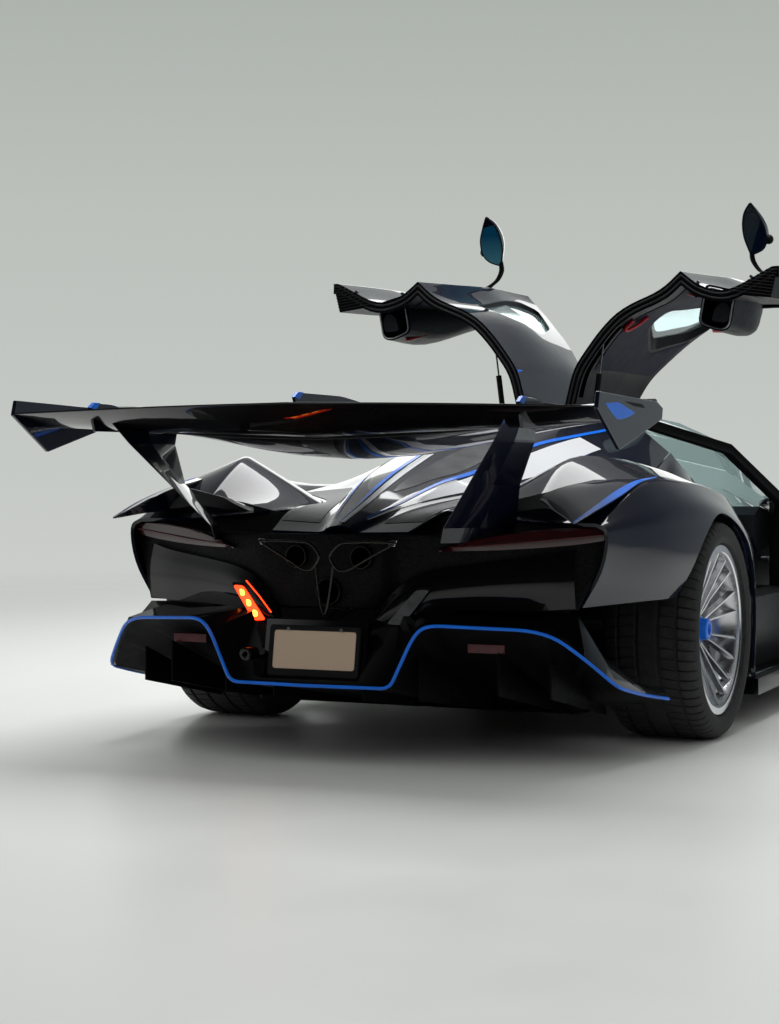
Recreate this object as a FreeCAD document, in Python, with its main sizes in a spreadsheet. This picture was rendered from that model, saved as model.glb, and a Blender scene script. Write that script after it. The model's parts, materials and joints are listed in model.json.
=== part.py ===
import math
import os
from types import SimpleNamespace

import FreeCAD
import Part
import Sketcher
from FreeCAD import Placement, Rotation, Vector

# A mid-engined two-seat hypercar with gullwing doors, a high rear wing and a deep diffuser.
# Frame: +X forward, +Y to the car's left, +Z up, millimetres. The origin is on the ground under
# the middle of the car's length. The doors are modelled shut and turned to their open rest pose.

doc = FreeCAD.newDocument("hypercar")
sheet = doc.addObject("Spreadsheet::Sheet", "dims")

DRIVING_DIMENSIONS = [
    # alias, value, meaning
    ("wheelbase", 2700, "front axle to rear axle"),
    ("front_overhang", 1066, "front axle to the splitter's lip"),
    ("rear_overhang", 1304, "rear axle to the wing's trailing edge"),
    ("half_width", 997.5, "centreline to the rear fender's widest point"),
    ("ride_height", 100, "ground to the underside of the flat floor"),
    ("rear_tyre_radius", 364, "outside radius of a rear tyre"),
    ("rear_tyre_width", 325, "width of a rear tyre"),
    ("rear_rim_seat", 267, "radius of the rear rim's bead seat"),
    ("front_tyre_radius", 347, "outside radius of a front tyre"),
    ("front_tyre_width", 265, "width of a front tyre"),
    ("front_rim_seat", 254, "radius of the front rim's bead seat"),
    ("tyre_inset", 14, "rear fender's widest point in to the rear tyre's outer wall"),
    ("front_tyre_inset", 34, "rear fender's widest point in to the front tyre's outer wall"),
    ("arch_gap", 24, "tyre tread to the wheel arch"),
    ("spoke_count", 10, "pairs of spokes in a rim"),
    ("spoke_spread", 8, "degrees each spoke of a pair leans to its side"),
    ("hub_radius", 66, "radius of a rim's hub"),
    ("rear_disc_radius", 195, "radius of a rear brake disc"),
    ("front_disc_radius", 190, "radius of a front brake disc"),
    ("panel_thick", 16, "thickness of a body panel with its inner skin"),
    ("door_thick", 44, "thickness of a door"),
    ("glass_thick", 5, "thickness of a window"),
    ("shut_gap", 6, "gap between a door and what surrounds it"),
    ("door_rear_setback", 930, "rear axle forward to the door's rear edge"),
    ("door_front_setback", 530, "front axle back to the door's front edge"),
    ("hinge_offset", 85, "centreline to a door's hinge line"),
    ("hinge_height", 1142, "ground to the hinge lines"),
    ("door_open", 80, "degrees from shut to open"),
    ("sill_height", 390, "ground to the top of the tub's sill"),
    ("cabin_half_width", 560, "centreline to the cabin's inner wall at the floor"),
    ("sill_half_width", 715, "centreline to the sill's outer wall"),
    ("wing_half_span", 965, "centreline to an end plate's inner face"),
    ("wing_height", 1100, "ground to the wing's trailing edge at its middle"),
    ("end_plate_thick", 14, "thickness of a wing end plate"),
    ("pylon_thick", 22, "thickness of a wing pylon"),
    ("plate_width", 311, "width of the blank number plate with its frame"),
    ("plate_height", 158, "height of the blank number plate with its frame"),
    ("steering_lock", 28, "degrees a front wheel steers each way"),
]
for row, (alias, value, meaning) in enumerate(DRIVING_DIMENSIONS, start=1):
    sheet.set(f"A{row}", meaning)
    sheet.set(f"B{row}", str(value))
    sheet.setAlias(f"B{row}", alias)
doc.recompute()
d = SimpleNamespace(**{alias: float(sheet.get(alias)) for alias, _, _ in DRIVING_DIMENSIONS})

# The axles and the doors' edges.
REAR_X = (d.rear_overhang - d.wheelbase - d.front_overhang) / 2
FRONT_X = REAR_X + d.wheelbase
DOOR_REAR = REAR_X + d.door_rear_setback
DOOR_FRONT = FRONT_X - d.door_front_setback

nodes = []


# ---------------------------------------------------------------- helpers


def add_shape(name, shape):
    """A node made with Part's own functions."""
    obj = doc.addObject("Part::Feature", name)
    obj.Shape = shape
    obj.Label = name
    nodes.append(obj)
    return obj


def mirrored(shape):
    """The same piece on the car's other side."""
    return shape.mirror(Vector(0, 0, 0), Vector(0, 1, 0))


def both_sides(shape):
    """The left piece and its mirror image, as one compound of two solids."""
    return Part.makeCompound([shape, mirrored(shape)])


def wire_of(points):
    """A closed wire of straight lines."""
    corners = [Vector(*p) for p in points]
    return Part.makePolygon(corners + corners[:1])


def prism(points, travel):
    """A flat outline pushed along a vector."""
    return Part.Face(wire_of(points)).extrude(Vector(*travel))


def inward(profile, thickness):
    """A profile of (y, z) points, running outward and down, moved in by a panel's thickness."""
    moved = []
    last = len(profile) - 1
    for i, (y, z) in enumerate(profile):
        normals = []
        for a, b in ((i - 1, i), (i, i + 1)):
            if 0 <= a and b <= last:
                dy = profile[b][0] - profile[a][0]
                dz = profile[b][1] - profile[a][1]
                length = math.hypot(dy, dz)
                normals.append((dz / length, -dy / length))
        ny = sum(n[0] for n in normals) / len(normals)
        nz = sum(n[1] for n in normals) / len(normals)
        squared = max(ny * ny + nz * nz, 0.45)
        moved.append((y + ny * thickness / squared, z + nz * thickness / squared))
    return moved


def shell_wire(x, profile, thickness):
    """The closed section of a panel at a station x."""
    ring = profile + inward(profile, thickness)[::-1]
    return wire_of([(x, y, z) for y, z in ring])


def shell(stations, thickness):
    """A faceted panel through a table of (x, profile) stations."""
    return Part.makeLoft([shell_wire(x, profile, thickness) for x, profile in stations], True, True)


def solid_loft(sections):
    """A faceted solid through closed sections of (x, y, z) points."""
    return Part.makeLoft([wire_of(points) for points in sections], True, True)


def stretched(value, anchors):
    """A drawn place carried to the car, through (drawn place, place) anchors in rising order."""
    (first, at_first), (last, at_last) = anchors[0], anchors[-1]
    if value <= first:
        return at_first + value - first
    for (a, at_a), (b, at_b) in zip(anchors, anchors[1:]):
        if value <= b:
            return at_a + (value - a) * (at_b - at_a) / (b - a)
    return at_last + value - last


# The tables below are drawn on a car of these sizes, and follow the real axles, doors and walls.
DRAWN_LENGTHS = [(0, REAR_X), (930, DOOR_REAR), (2170, DOOR_FRONT), (2700, FRONT_X)]
DRAWN_FRONT_AXLE = 2700
DRAWN_HALF_WIDTH = 997.5
DRAWN_WIDTHS = [
    (0, 0), (560, d.cabin_half_width), (715, d.sill_half_width), (DRAWN_HALF_WIDTH, d.half_width)
]


def rx(x):
    """A place drawn ahead of the rear axle."""
    return stretched(x, DRAWN_LENGTHS)


def fx(x):
    """A place drawn ahead of the front axle."""
    return rx(DRAWN_FRONT_AXLE + x)


def sy(y):
    """A place drawn to one side of the middle."""
    return math.copysign(stretched(abs(y), DRAWN_WIDTHS), y)


def outer(inset):
    """The y of a point that is drawn a given inset in from the car's widest point."""
    return sy(DRAWN_HALF_WIDTH - inset)


def at(x, y, z):
    """A point drawn ahead of the rear axle and to one side."""
    return (rx(x), sy(y), z)


def at_front(x, y, z):
    """A point drawn ahead of the front axle and to one side."""
    return (fx(x), sy(y), z)


def rod(start, end, radius):
    """A round bar between two points."""
    a, b = Vector(*start), Vector(*end)
    return Part.makeCylinder(radius, (b - a).Length, a, b - a)


def largest(shape, count=1):
    """A shape's biggest solids, without the crumbs that a cut leaves."""
    solids = sorted(shape.Solids, key=lambda solid: -solid.Volume)[:count]
    return solids[0] if count == 1 else Part.makeCompound(solids)


def along_x(radius, length, x, y, z):
    """A cylinder that runs forward from a point."""
    return Part.makeCylinder(radius, length, Vector(x, y, z), Vector(1, 0, 0))


def fuse(shapes):
    """One solid from pieces that touch or overlap."""
    return shapes[0].multiFuse(shapes[1:]).removeSplitter()


def block(x_range, y_range, z_range):
    """A box between two corners."""
    corner = Vector(x_range[0], y_range[0], z_range[0])
    sides = (x_range[1] - x_range[0], y_range[1] - y_range[0], z_range[1] - z_range[0])
    return Part.makeBox(*sides, corner)


def turned(shape, axis_point, axis, degrees):
    """A copy turned about an axis."""
    copy = shape.copy()
    copy.rotate(Vector(*axis_point), Vector(*axis), degrees)
    return copy


def faceted_panel(rows, offsets):
    """A faceted panel from rows of (x, y, z) points, and how each column's back is offset."""
    front = [[Vector(*p) for p in row] for row in rows]
    back = [[p + Vector(*o) for p, o in zip(row, offsets)] for row in front]
    faces = []

    def quad(a, b, c, e):
        faces.append(Part.Face(Part.makePolygon([a, b, c, a])))
        faces.append(Part.Face(Part.makePolygon([a, c, e, a])))

    for i in range(len(rows) - 1):
        for j in range(len(rows[0]) - 1):
            quad(front[i][j], front[i][j + 1], front[i + 1][j + 1], front[i + 1][j])
            quad(back[i][j], back[i + 1][j], back[i + 1][j + 1], back[i][j + 1])
    for i in (0, len(rows) - 1):
        for j in range(len(rows[0]) - 1):
            quad(front[i][j], back[i][j], back[i][j + 1], front[i][j + 1])
    for j in (0, len(rows[0]) - 1):
        for i in range(len(rows) - 1):
            quad(front[i][j], front[i + 1][j], back[i + 1][j], back[i][j])
    solid = Part.Solid(Part.Shell(faces))
    solid.fix(0.01, 0.01, 0.01)
    if solid.Volume < 0:
        solid.reverse()
    return solid


def bind(obj, **expressions):
    """Binds an object's sizes and place to the sheet. Names use __ for a dot."""
    for name, expression in expressions.items():
        obj.setExpression(name.replace("__", "."), expression)


def body_plane(body, role):
    return next(f for f in body.Origin.OriginFeatures if f.Role == role)


def bound_polygon(body, name, plane, rows):
    """A closed sketch whose corners are held at places given by expressions on the sheet."""
    sketch = body.newObject("Sketcher::SketchObject", name)
    sketch.AttachmentSupport = [(body_plane(body, plane), "")]
    sketch.MapMode = "FlatFace"
    count = len(rows)
    for i in range(count):
        angle = 2 * math.pi * i / count
        after = 2 * math.pi * (i + 1) / count
        start = Vector(300 + 100 * math.cos(angle), 100 * math.sin(angle), 0)
        end = Vector(300 + 100 * math.cos(after), 100 * math.sin(after), 0)
        sketch.addGeometry(Part.LineSegment(start, end), False)
    for i in range(count):
        sketch.addConstraint(Sketcher.Constraint("Coincident", i, 2, (i + 1) % count, 1))
    for i, (across, along) in enumerate(rows):
        for kind, expression in (("DistanceX", across), ("DistanceY", along)):
            index = sketch.addConstraint(Sketcher.Constraint(kind, -1, 1, i, 1, 1.0))
            sketch.setExpression(f"Constraints[{index}]", expression)
    return sketch


def new_body(name):
    body = doc.addObject("PartDesign::Body", name)
    body.Label = name
    return body


def pad(body, name, sketch, length, midplane=False, reverse=False):
    feature = body.newObject("PartDesign::Pad", name)
    feature.Profile = sketch
    feature.Midplane = midplane
    feature.Reversed = reverse
    feature.setExpression("Length", length)
    return feature


# ---------------------------------------------------------------- wheels

RIM_FLANGE = 18  # how far a rim's flange stands above its bead seat
RIM_EDGE = 20  # tyre's wall in to the flange's outer face
FLANGE_WIDTH = 10
SPOKE_DEPTH = 36
DISC_THICK = 34


def make_tyre(axle, side):
    """A tyre as a ring on its rim's bead seat, turned about the body's Y axis."""
    seat = f"dims.{axle}_rim_seat"
    tread = f"dims.{axle}_tyre_radius"
    half = f"dims.{axle}_tyre_width / 2"
    rows = []
    for sign in ("-", ""):
        wall = [
            (seat, f"{half} - {RIM_EDGE + FLANGE_WIDTH}"),
            (f"{seat} + {RIM_FLANGE + 2}", f"{half} - {RIM_EDGE + FLANGE_WIDTH}"),
            (f"{seat} + {RIM_FLANGE + 6}", f"{half} - 8"),
            (f"({seat} + {tread}) / 2 + 8", half),
            (f"{tread} - 14", f"{half} - 14"),
            (tread, f"{half} - 44"),
        ]
        wall = [(r, f"{sign}({w})") for r, w in wall]
        rows += wall if sign else wall[::-1]
    body = new_body(f"tyre_{axle}_{side}")
    sketch = bound_polygon(body, f"tyre_profile_{axle}_{side}", "XY_Plane", rows)
    ring = body.newObject("PartDesign::Revolution", f"tyre_ring_{axle}_{side}")
    ring.Profile = sketch
    ring.ReferenceAxis = (sketch, ["V_Axis"])
    ring.Angle = 360
    return body


def make_rim(axle, side):
    """A rim with pairs of spokes between its hub and its barrel."""
    name = f"wheel_{axle}_{side}"
    seat = f"dims.{axle}_rim_seat"
    half = f"dims.{axle}_tyre_width / 2"
    body = new_body(name)
    barrel_rows = [
        (f"{seat} - 11", f"-({half} - {RIM_EDGE})"),
        (f"{seat} + {RIM_FLANGE}", f"-({half} - {RIM_EDGE})"),
        (f"{seat} + {RIM_FLANGE}", f"-({half} - {RIM_EDGE + FLANGE_WIDTH})"),
        (seat, f"-({half} - {RIM_EDGE + FLANGE_WIDTH})"),
        (seat, f"{half} - {RIM_EDGE + FLANGE_WIDTH}"),
        (f"{seat} + {RIM_FLANGE}", f"{half} - {RIM_EDGE + FLANGE_WIDTH}"),
        (f"{seat} + {RIM_FLANGE}", f"{half} - {RIM_EDGE}"),
        (f"{seat} - 11", f"{half} - {RIM_EDGE}"),
    ]
    profile = bound_polygon(body, f"{name}_barrel_profile", "XY_Plane", barrel_rows)
    barrel = body.newObject("PartDesign::Revolution", f"{name}_barrel")
    barrel.Profile = profile
    barrel.ReferenceAxis = (profile, ["V_Axis"])
    barrel.Angle = 360

    reach = f"({seat} - 5)"
    tip_x = f"{reach} * cos(dims.spoke_spread * 1 deg)"
    tip_y = f"{reach} * sin(dims.spoke_spread * 1 deg)"
    root = "(dims.hub_radius - 8)"
    spoke_rows = [
        (root, "-11"),
        (tip_x, f"-({tip_y} + 7)"),
        (tip_x, f"-({tip_y} - 7)"),
        (f"{root} + 48", "0"),
        (tip_x, f"{tip_y} - 7"),
        (tip_x, f"{tip_y} + 7"),
        (root, "11"),
    ]
    outline = bound_polygon(body, f"{name}_spoke_outline", "XZ_Plane", spoke_rows)
    outline.AttachmentOffset = Placement(Vector(0, 0, 0), Rotation())
    outline.setExpression("AttachmentOffset.Base.z", f"-({half} - 38)")
    spokes = pad(body, f"{name}_spokes", outline, str(SPOKE_DEPTH))
    doc.recompute()
    pattern = body.newObject("PartDesign::PolarPattern", f"{name}_spoke_ring")
    pattern.Originals = [spokes]
    pattern.Axis = (body_plane(body, "Y_Axis"), [""])
    pattern.Angle = 360
    pattern.setExpression("Occurrences", "dims.spoke_count")
    body.Tip = pattern
    doc.recompute()

    hub_circle = body.newObject("Sketcher::SketchObject", f"{name}_hub_circle")
    hub_circle.AttachmentSupport = [(body_plane(body, "XZ_Plane"), "")]
    hub_circle.MapMode = "FlatFace"
    hub_circle.addGeometry(Part.Circle(Vector(0, 0, 0), Vector(0, 0, 1), 60), False)
    hub_circle.addConstraint(Sketcher.Constraint("Coincident", 0, 3, -1, 1))
    index = hub_circle.addConstraint(Sketcher.Constraint("Radius", 0, 60))
    hub_circle.setExpression(f"Constraints[{index}]", "dims.hub_radius")
    hub_circle.AttachmentOffset = Placement(Vector(0, 0, 0), Rotation())
    hub_circle.setExpression("AttachmentOffset.Base.z", f"-({half} - 34)")
    pad(body, f"{name}_hub", hub_circle, f"{half} - 34 - {DISC_THICK / 2}")
    return body


def wheel_shapes(axle, side):
    """The rim and its brake disc, as solids of one node."""
    rim = make_rim(axle, side)
    doc.recompute()
    disc = doc.addObject("Part::Cylinder", f"brake_disc_{axle}_{side}")
    bind(
        disc,
        Radius=f"dims.{axle}_disc_radius",
        Placement__Base__y=f"-{DISC_THICK / 2}",
    )
    disc.Height = DISC_THICK
    disc.Placement = Placement(Vector(0, -DISC_THICK / 2, 0), Rotation(Vector(1, 0, 0), -90))
    doc.recompute()
    return rim, disc


def place_wheel(obj, axle, side):
    """Stands a wheel part at its axle's end, outboard face out."""
    x = REAR_X if axle == "rear" else FRONT_X
    inset = d.tyre_inset if axle == "rear" else d.front_tyre_inset
    radius = getattr(d, f"{axle}_tyre_radius")
    width = getattr(d, f"{axle}_tyre_width")
    y = d.half_width - inset - width / 2
    turn = Rotation() if side == "left" else Rotation(Vector(0, 0, 1), 180)
    obj.Placement = Placement(Vector(x, y if side == "left" else -y, radius), turn)


wheels = [(axle, side) for axle in ("front", "rear") for side in ("left", "right")]
for axle, side in wheels:
    tyre = make_tyre(axle, side)
    doc.recompute()
    place_wheel(tyre, axle, side)
    nodes.append(tyre)
    rim, disc = wheel_shapes(axle, side)
    whole = Part.makeCompound([rim.Shape, disc.Shape])
    rim.Label = f"rim_{axle}_{side}"
    wheel = add_shape(f"wheel_{axle}_{side}_set", whole)
    wheel.Label = f"wheel_{axle}_{side}"
    place_wheel(wheel, axle, side)

# ---------------------------------------------------------------- shared places

REAR_WHEEL_Y = d.half_width - d.tyre_inset - d.rear_tyre_width / 2
FRONT_WHEEL_Y = d.half_width - d.front_tyre_inset - d.front_tyre_width / 2
REAR_ARCH = d.rear_tyre_radius + d.arch_gap
FRONT_ARCH = d.front_tyre_radius + d.arch_gap
FLOOR = d.ride_height + 12  # top of the flat undertray
KINGPIN_IN = 75  # wheel's middle in to its steering axis
KINGPIN_Y = FRONT_WHEEL_Y - KINGPIN_IN
FIT = 0.3  # clearance of a pin in its hole or a seat on its neighbour


def arch_cutter(axle):
    """What a left wheel arch takes out of the bodywork."""
    x, radius, tyre, middle, width = {
        "rear": (REAR_X, REAR_ARCH, d.rear_tyre_radius, REAR_WHEEL_Y, d.rear_tyre_width),
        "front": (FRONT_X, FRONT_ARCH, d.front_tyre_radius, FRONT_WHEEL_Y, d.front_tyre_width),
    }[axle]
    start = Vector(x, middle - width / 2 - d.arch_gap, tyre)
    return Part.makeCylinder(radius, 500, start, Vector(0, 1, 0))


# ---------------------------------------------------------------- rear bodywork

# The deck between the rear haunches, as half sections. Columns: x from the rear axle, height of
# the crest, then (y, z) of the ridge's shoulder, its foot and the channel's outer edge.
DECK_TABLE = [
    (924, 1147, (168, 1128), (400, 1050), (505, 962)),
    (450, 1096, (190, 1075), (400, 985), (565, 868)),
    (0, 1002, (198, 962), (385, 832), (606, 812)),
    (-450, 886, (130, 876), (205, 800), (294, 786)),
    (-720, 794, (84, 787), (130, 758), (276, 768)),
    (-930, 724, (40, 718), (60, 702), (236, 706)),
]

# The rear fenders. Columns: x from the rear axle, then (inset from the widest point, z) of the
# crest, the blade line, the flank, the widest line and the lower lip.
REAR_FENDER_TABLE = [
    (924, (470, 940), (326, 776), (376, 640), (261, 425), (263, 345)),
    (450, (372, 822), (137, 800), (43, 640), (28, 430), (33, 165)),
    (0, (207, 888), (122, 850), (12, 740), (0, 600), (8, 480)),
    (-450, (397, 940), (145, 838), (57, 740), (50, 600), (97, 488)),
    (-800, (342, 836), (195, 762), (150, 715), (170, 590), (240, 478)),
]

# The intake in the flank from the side, and the y its cut starts at. Columns: x from the rear
# axle, z.
SIDE_INTAKE = [(870, 395), (520, 300), (545, 650), (850, 700)]
INTAKE_INNER = 400


def deck_section(row):
    """The deck's closed section, with its underside."""
    x, crest, ridge, channel, edge = row
    half = [(0, crest), ridge, channel, edge]
    under = inward(half, d.panel_thick)
    under[0] = (0, crest - 1.5 * d.panel_thick)
    ring = half + under[::-1] + [(-y, z) for y, z in under[1:]] + [(-y, z) for y, z in half[:0:-1]]
    return [at(x, y, z) for y, z in ring]


def rear_fender_section(row, deck_row):
    """A rear fender's outline from the deck's edge down to its lower lip."""
    edge_y, edge_z = deck_row[4]
    return [(edge_y + d.shut_gap, edge_z)] + [(outer(inset), z) for inset, z in row[1:]]


def make_rear_fender():
    """The left rear fender, open over the wheel and at the side intake."""
    stations = [
        (rx(row[0]), rear_fender_section(row, deck_row))
        for row, deck_row in zip(REAR_FENDER_TABLE, DECK_TABLE)
    ]
    intake = prism([(rx(x), INTAKE_INNER, z) for x, z in SIDE_INTAKE], (0, 2 * d.half_width, 0))
    return shell(stations, d.panel_thick).cut(arch_cutter("rear")).cut(intake)


# The haunch's knife-edged tail, from the deck out. Columns: x from the rear axle, y, z.
DECK_EDGE = DECK_TABLE[4][4][0] + d.shut_gap
BLADE_ROOT = [(-610, DECK_EDGE, 775), (-670, 470, 824), (-690, 645, 864), (-785, 802, 764)]
BLADE_TIP = [(-650, DECK_EDGE, 768), (-800, 505, 778), (-905, 677, 815), (-990, 796, 742)]
BLADE_THICK = 13


def make_tail_blade():
    """The left haunch's tail, which overhangs the rear fascia as one thin blade."""
    rows = [[at(*point) for point in row] for row in (BLADE_ROOT, BLADE_TIP)]
    return faceted_panel(rows, [(0, 0, -BLADE_THICK)] * 4)


engine_cover = solid_loft([deck_section(row) for row in DECK_TABLE])
add_shape("engine_cover", engine_cover)

# The fascia's top and bottom edges in plan, half from the outside in. Columns: x from the rear
# axle, y.
FASCIA_TOP = [(-745, 845), (-925, 450), (-985, 250), (-1000, 0)]
FASCIA_BOTTOM = [(-818, 752), (-905, 450), (-985, 250), (-1000, 0)]
FASCIA_TOP_Z = 698
FASCIA_BOTTOM_Z = 470
FASCIA_THICK = 18
FASCIA_MIDDLE = 200  # half the width of the panel around the exhaust's pipes


def fascia_ring(edge, z):
    """The fascia's closed outline at one height."""
    full = edge + [(x, -y) for x, y in edge[-2::-1]]
    back = [(x + FASCIA_THICK, y * (1 - FASCIA_THICK / DRAWN_HALF_WIDTH)) for x, y in full[::-1]]
    return [at(x, y, z) for x, y in full + back]


# The exhaust's pipes. Columns: y, z, outside radius.
EXHAUST_TUBES = [(0, 520, 42), (112, 628, 36), (-112, 628, 36)]
EXHAUST_MOUTH = rx(-1012)
EXHAUST_LENGTH = 160
EXHAUST_WALL = 4
SILENCER = ((rx(-862), rx(-700)), (-240, 240), (470, 680))  # x, y and z ranges

fascia_edges = [(FASCIA_TOP, FASCIA_TOP_Z), (FASCIA_BOTTOM, FASCIA_BOTTOM_Z)]
fascia = solid_loft([fascia_ring(edge, z) for edge, z in fascia_edges])
for y, z, radius in EXHAUST_TUBES:
    fascia = fascia.cut(along_x(radius + FIT, 500, rx(-1100), y, z))
# Its middle, around the pipes, is a panel of its own.
fascia_middle = block((rx(-1100), rx(-600)), (-FASCIA_MIDDLE, FASCIA_MIDDLE), (0, 1000))
fascia = Part.makeCompound([fascia.common(fascia_middle)] + fascia.cut(fascia_middle).Solids)
add_shape("rear_fascia", fascia)
rear_fender = fuse([make_rear_fender(), make_tail_blade()]).cut(engine_cover).cut(fascia)
rear_fender = largest(rear_fender)
add_shape("rear_fenders", both_sides(rear_fender))

# The lower edge of the tail: a high flat lip over each tunnel and a low keel in the middle.
# Columns: x from the rear axle, y, z.
DIFFUSER_LIP = [
    (-1160, 0, 243), (-1141, 271, 243), (-1137, 345, 400), (-1133, 385, 436), (-1090, 500, 430),
    (-1010, 720, 420), (-925, 812, 333), (-850, 889, 246), (-650, 905, 205), (-490, 935, 180),
]
# The edge above it, from the fascia's bottom out, and then down to a narrow strip above the lip.
BUMPER_TOP = [
    (-1004, 0, 466), (-990, 240, 466), (-978, 290, 466), (-965, 340, 466), (-912, 450, 466),
    (-850, 640, 466), (-818, 748, 462), (-805, 830, 330), (-640, 880, 242), (-482, 918, 212),
]
# How far in the panel's back lies from each of those points. Columns: x, y, z.
BUMPER_BACK = [(12, 0, 0)] * 4 + [(11, -4, 0), (10, -8, 0), (8, -9, 0), (3, -11, 0)] + [(0, -12, 0)] * 2
TUNNEL_FRONT = -360  # where the tunnels leave the flat floor, from the rear axle
TUNNEL_SPREAD = 0.62  # how much narrower the tunnels are there
# The strakes under the tunnels. Columns: y, rear x from the rear axle, height there, drop below it.
STRAKES = [(150, -1080, 236, 40), (330, -1060, 330, 130), (560, -1000, 350, 130), (700, -930, 320, 110)]
STRAKE_THICK = 6
PLATE_TILT = 9
PLATE_THICK = 8
PLATE_FOOT = (rx(-1120), 264)  # x and z of the number plate's lower edge
PLATE_MARGIN = 8
PLATE_BACKING = 26


def on_plate(shape):
    """A shape made about the number plate's lower edge, leaned with it."""
    shape.Placement = Placement(
        Vector(PLATE_FOOT[0], 0, PLATE_FOOT[1]), Rotation(Vector(0, 1, 0), PLATE_TILT)
    )
    return shape


def plate_block(depth_range, margin):
    """A box around the number plate in its own leaned frame."""
    half = d.plate_width / 2 + margin
    return on_plate(block(depth_range, (-half, half), (-margin, d.plate_height + margin)))


def make_rear_bumper():
    """The panel between the fascia and the diffuser's lip, with a pocket for the number plate."""
    rows = [[at(*point) for point in line] for line in (BUMPER_TOP, DIFFUSER_LIP)]
    half = faceted_panel(rows, BUMPER_BACK)
    seat = PLATE_THICK + FIT
    backing = plate_block((seat, seat + PLATE_BACKING), PLATE_MARGIN + 10)
    pocket = plate_block((-200, seat), PLATE_MARGIN)
    return fuse([half, mirrored(half), backing]).cut(pocket)


def make_diffuser():
    """The tunnels from the flat floor up to the lip, with their strakes."""
    lip = [(rx(x) + 14, sy(y), z - 3) for x, y, z in DIFFUSER_LIP]
    front = [(rx(TUNNEL_FRONT), sy(y) * TUNNEL_SPREAD, FLOOR) for _, y, _ in DIFFUSER_LIP]
    half = faceted_panel([lip, front], [(0, 0, 8)] * 6 + [(0, -6, 6)] * 4)
    pieces = [half, mirrored(half)]
    for y, rear_x, high, drop in STRAKES:
        outline = [(-420, FLOOR + 30), (rear_x, high), (rear_x, high - drop), (-420, FLOOR)]
        strake = prism([(rx(x), sy(y), z) for x, z in outline], (0, STRAKE_THICK, 0))
        pieces += [strake, mirrored(strake)]
    return fuse(pieces)


TOW_THREAD = 8
TOW_DEPTH = 35
TOW_REAR = (rx(-1150), 215, 330)  # mouth of the rear tow eye's thread
TOW_FRONT = (fx(1030), 365, 200)  # mouth of the front one


def with_tow_eye(panel, mouth, outward):
    """A panel with a boss that takes a screw-in tow eye, its thread opening outward along X."""
    start = Vector(*mouth)
    inward_x = Vector(-outward, 0, 0)
    boss = Part.makeCylinder(20, TOW_DEPTH + 20, start, inward_x)
    return fuse([panel, boss]).cut(Part.makeCylinder(TOW_THREAD, TOW_DEPTH, start, inward_x))


rear_bumper = with_tow_eye(make_rear_bumper(), TOW_REAR, -1)
add_shape("rear_bumper", rear_bumper)
diffuser = largest(make_diffuser().cut(rear_bumper))
add_shape("diffuser", diffuser)

# ---------------------------------------------------------------- tub, floor and frames

TUB_REAR = rx(745)
TUB_FRONT = fx(-420)
LEG_REAR, LEG_FRONT = TUB_FRONT - 150, fx(620)
LEG_HALF = 430
LEG_TOP = 540
LEG_TOP_FRONT = 450
WALL = 25
TUB_FLOOR = 40  # thickness of the tub's floor
BULKHEAD_THICK = 45
BULKHEAD_EDGE = [(420, 985), (640, 780), (640, FLOOR)]  # its left half's y and z
CABIN_TOP = 900  # where the cut that hollows the cabin ends
FOOTWELL_END = fx(60)
COWL_X = (fx(-150), fx(-110))
COWL_TOP = 690


def make_tub():
    """The floor, sills, bulkheads and footwell, in one piece, open where the people sit."""
    inside = LEG_HALF - WALL
    base = block((TUB_REAR, TUB_FRONT), (-d.sill_half_width, d.sill_half_width), (FLOOR, d.sill_height))
    leg_outline = [
        (LEG_REAR, FLOOR), (LEG_FRONT, FLOOR), (LEG_FRONT, LEG_TOP_FRONT), (fx(350), LEG_TOP),
        (LEG_REAR, LEG_TOP),
    ]
    legs = prism([(x, -LEG_HALF, z) for x, z in leg_outline], (0, 2 * LEG_HALF, 0))
    cabin = block(
        (TUB_REAR + BULKHEAD_THICK, TUB_FRONT - 20), (-d.cabin_half_width, d.cabin_half_width),
        (FLOOR + TUB_FLOOR, CABIN_TOP),
    )
    footwell = block(
        (TUB_FRONT - 200, FOOTWELL_END), (-inside, inside), (FLOOR + TUB_FLOOR, LEG_TOP - WALL)
    )
    hollow_nose = block(
        (FOOTWELL_END + WALL, LEG_FRONT - WALL), (-inside, inside),
        (FLOOR + WALL, LEG_TOP_FRONT - WALL),
    )
    wall_outline = [(sy(y), z) for y, z in BULKHEAD_EDGE]
    wall_outline += [(-y, z) for y, z in wall_outline[::-1]]
    bulkhead = prism([(TUB_REAR, y, z) for y, z in wall_outline], (BULKHEAD_THICK, 0, 0))
    cowl = block(COWL_X, (-LEG_HALF, LEG_HALF), (LEG_TOP, COWL_TOP))
    body = fuse([base, legs, bulkhead, cowl])
    return body.cut(cabin).cut(footwell).cut(hollow_nose)


# The roof's spine, the hoop behind the doors and the pillars beside the windshield.
SPINE_HALF = d.hinge_offset - 11  # clear of an open door's hinge edge
SPINE_REAR = rx(840)
SPINE_LOW = 1102
SPINE_EDGE = d.hinge_height + 8
SPINE_CREST = d.hinge_height + 18
HINGE_STATIONS = [DOOR_REAR + 150, DOOR_REAR + 620]
HINGE_PIN = 4
HINGE_KNUCKLE = 9
HINGE_HALF = 40  # half the length of a hinge
KNUCKLE_WIDTH = 14  # width of each of the frame's knuckles, outside the door's one
# A pillar's middle line. Columns: x from the rear axle, y, z.
PILLAR_LINE = [(1690, d.hinge_offset - 15, 1122), (1950, 448, 985), (2165, 618, 768)]
PILLAR_HALF = 20
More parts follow.
